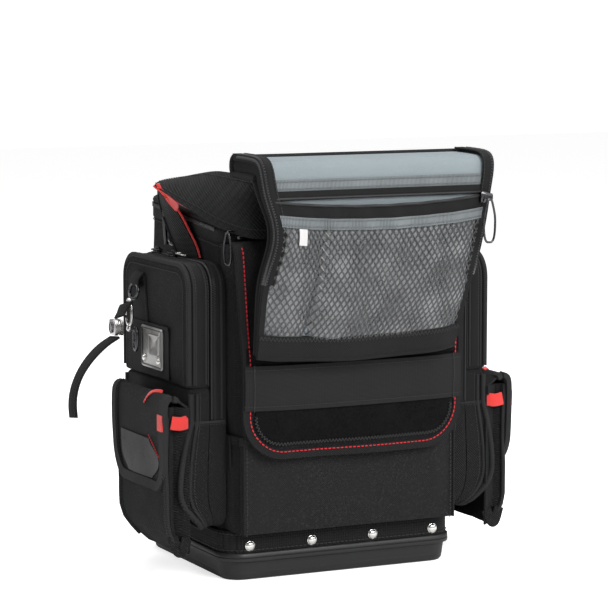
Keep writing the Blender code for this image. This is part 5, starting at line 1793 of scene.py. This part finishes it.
def glow_where_seen(tree, socket, extra, base):
    """Drives a strength: `base` for the light it gives off, plus `extra` where the camera looks at it."""
    rays = tree.nodes.new("ShaderNodeLightPath")
    power = tree.nodes.new("ShaderNodeMath")
    power.operation = "MULTIPLY_ADD"
    power.inputs[1].default_value = extra
    power.inputs[2].default_value = base
    tree.links.new(rays.outputs["Is Camera Ray"], power.inputs[0])
    tree.links.new(power.outputs[0], socket)


def build_stage():
    paper = smooth_solid("floor_paper", (0.9, 0.9, 0.9), 0.7, 0.0, 40.0, 0.01 * MM, 0.01)
    floor = link("floor", [(-6, -6, 0), (6, -6, 0), (6, 6, 0), (-6, 6, 0)], [(0, 1, 2, 3)], paper)
    glow_where_seen(paper.node_tree, paper.node_tree.nodes["Principled BSDF"].inputs["Emission Strength"], FLOOR_GLOW, 0.0)
    paper.node_tree.nodes["Principled BSDF"].inputs["Emission Color"].default_value = (1.0, 1.0, 1.0, 1.0)
    bpy.context.scene.view_settings.view_transform = "Standard"
    world = bpy.data.worlds.new("studio")
    bpy.context.scene.world = world
    world.use_nodes = True
    tree = world.node_tree
    tree.nodes["Background"].inputs[0].default_value = (1.0, 1.0, 1.0, 1.0)
    glow_where_seen(tree, tree.nodes["Background"].inputs[1], 1.12 - WORLD_LIGHT, WORLD_LIGHT)
    for name, place, size, power in (
        ("key", (0.4, -2.3, 1.6), 1.4, 62.0),
        ("fill", (1.6, -1.2, 1.1), 1.4, 9.0),
        ("top", (0.1, 0.2, 1.9), 1.4, 26.0),
        ("rim", (-1.4, 1.2, 1.0), 1.0, 8.0),
    ):
        lamp = bpy.data.lights.new(name, "AREA")
        lamp.size = size
        lamp.energy = power
        obj = bpy.data.objects.new(name, lamp)
        obj.location = place
        obj.rotation_euler = (Vector((0, 0, 0.18)) - Vector(place)).to_track_quat("-Z", "Y").to_euler()
        bpy.context.scene.collection.objects.link(obj)
    camera = bpy.data.cameras.new("camera")
    camera.sensor_width = 36.0
    camera.lens = 161.6
    azimuth, pitch = math.radians(-25.6), math.radians(6.8)
    heading = Vector((-math.sin(azimuth) * math.cos(pitch), math.cos(azimuth) * math.cos(pitch), -math.sin(pitch)))
    view = bpy.data.objects.new("camera", camera)
    view.location = (-1.0934, -2.2976, 0.5403)
    view.rotation_euler = heading.to_track_quat("-Z", "Y").to_euler()
    bpy.context.scene.collection.objects.link(view)
    bpy.context.scene.camera = view


build_tray()
build_band()
build_rivets()
build_rim(build_shell())
build_front_pockets()
build_flap()
build_patch()
build_flap_strap()
build_gusset()
build_lid_panel()
build_lid_pocket()
build_lid_edges()
build_lid_wings()
build_lid_zip_hardware()
for side, label in SIDES:
    build_side_pocket(side, label)
    build_zip_sliders(side, label)
    build_pouch(side, label)
    build_pouch_flap(side, label)
    build_red_tab(side, label)
build_cover_patch()
build_tether()
build_tape_strap()
build_clip_plate()
build_carry_strap()
build_strap_rings()
build_corner_zip()
build_inside()
build_back()
build_stage()
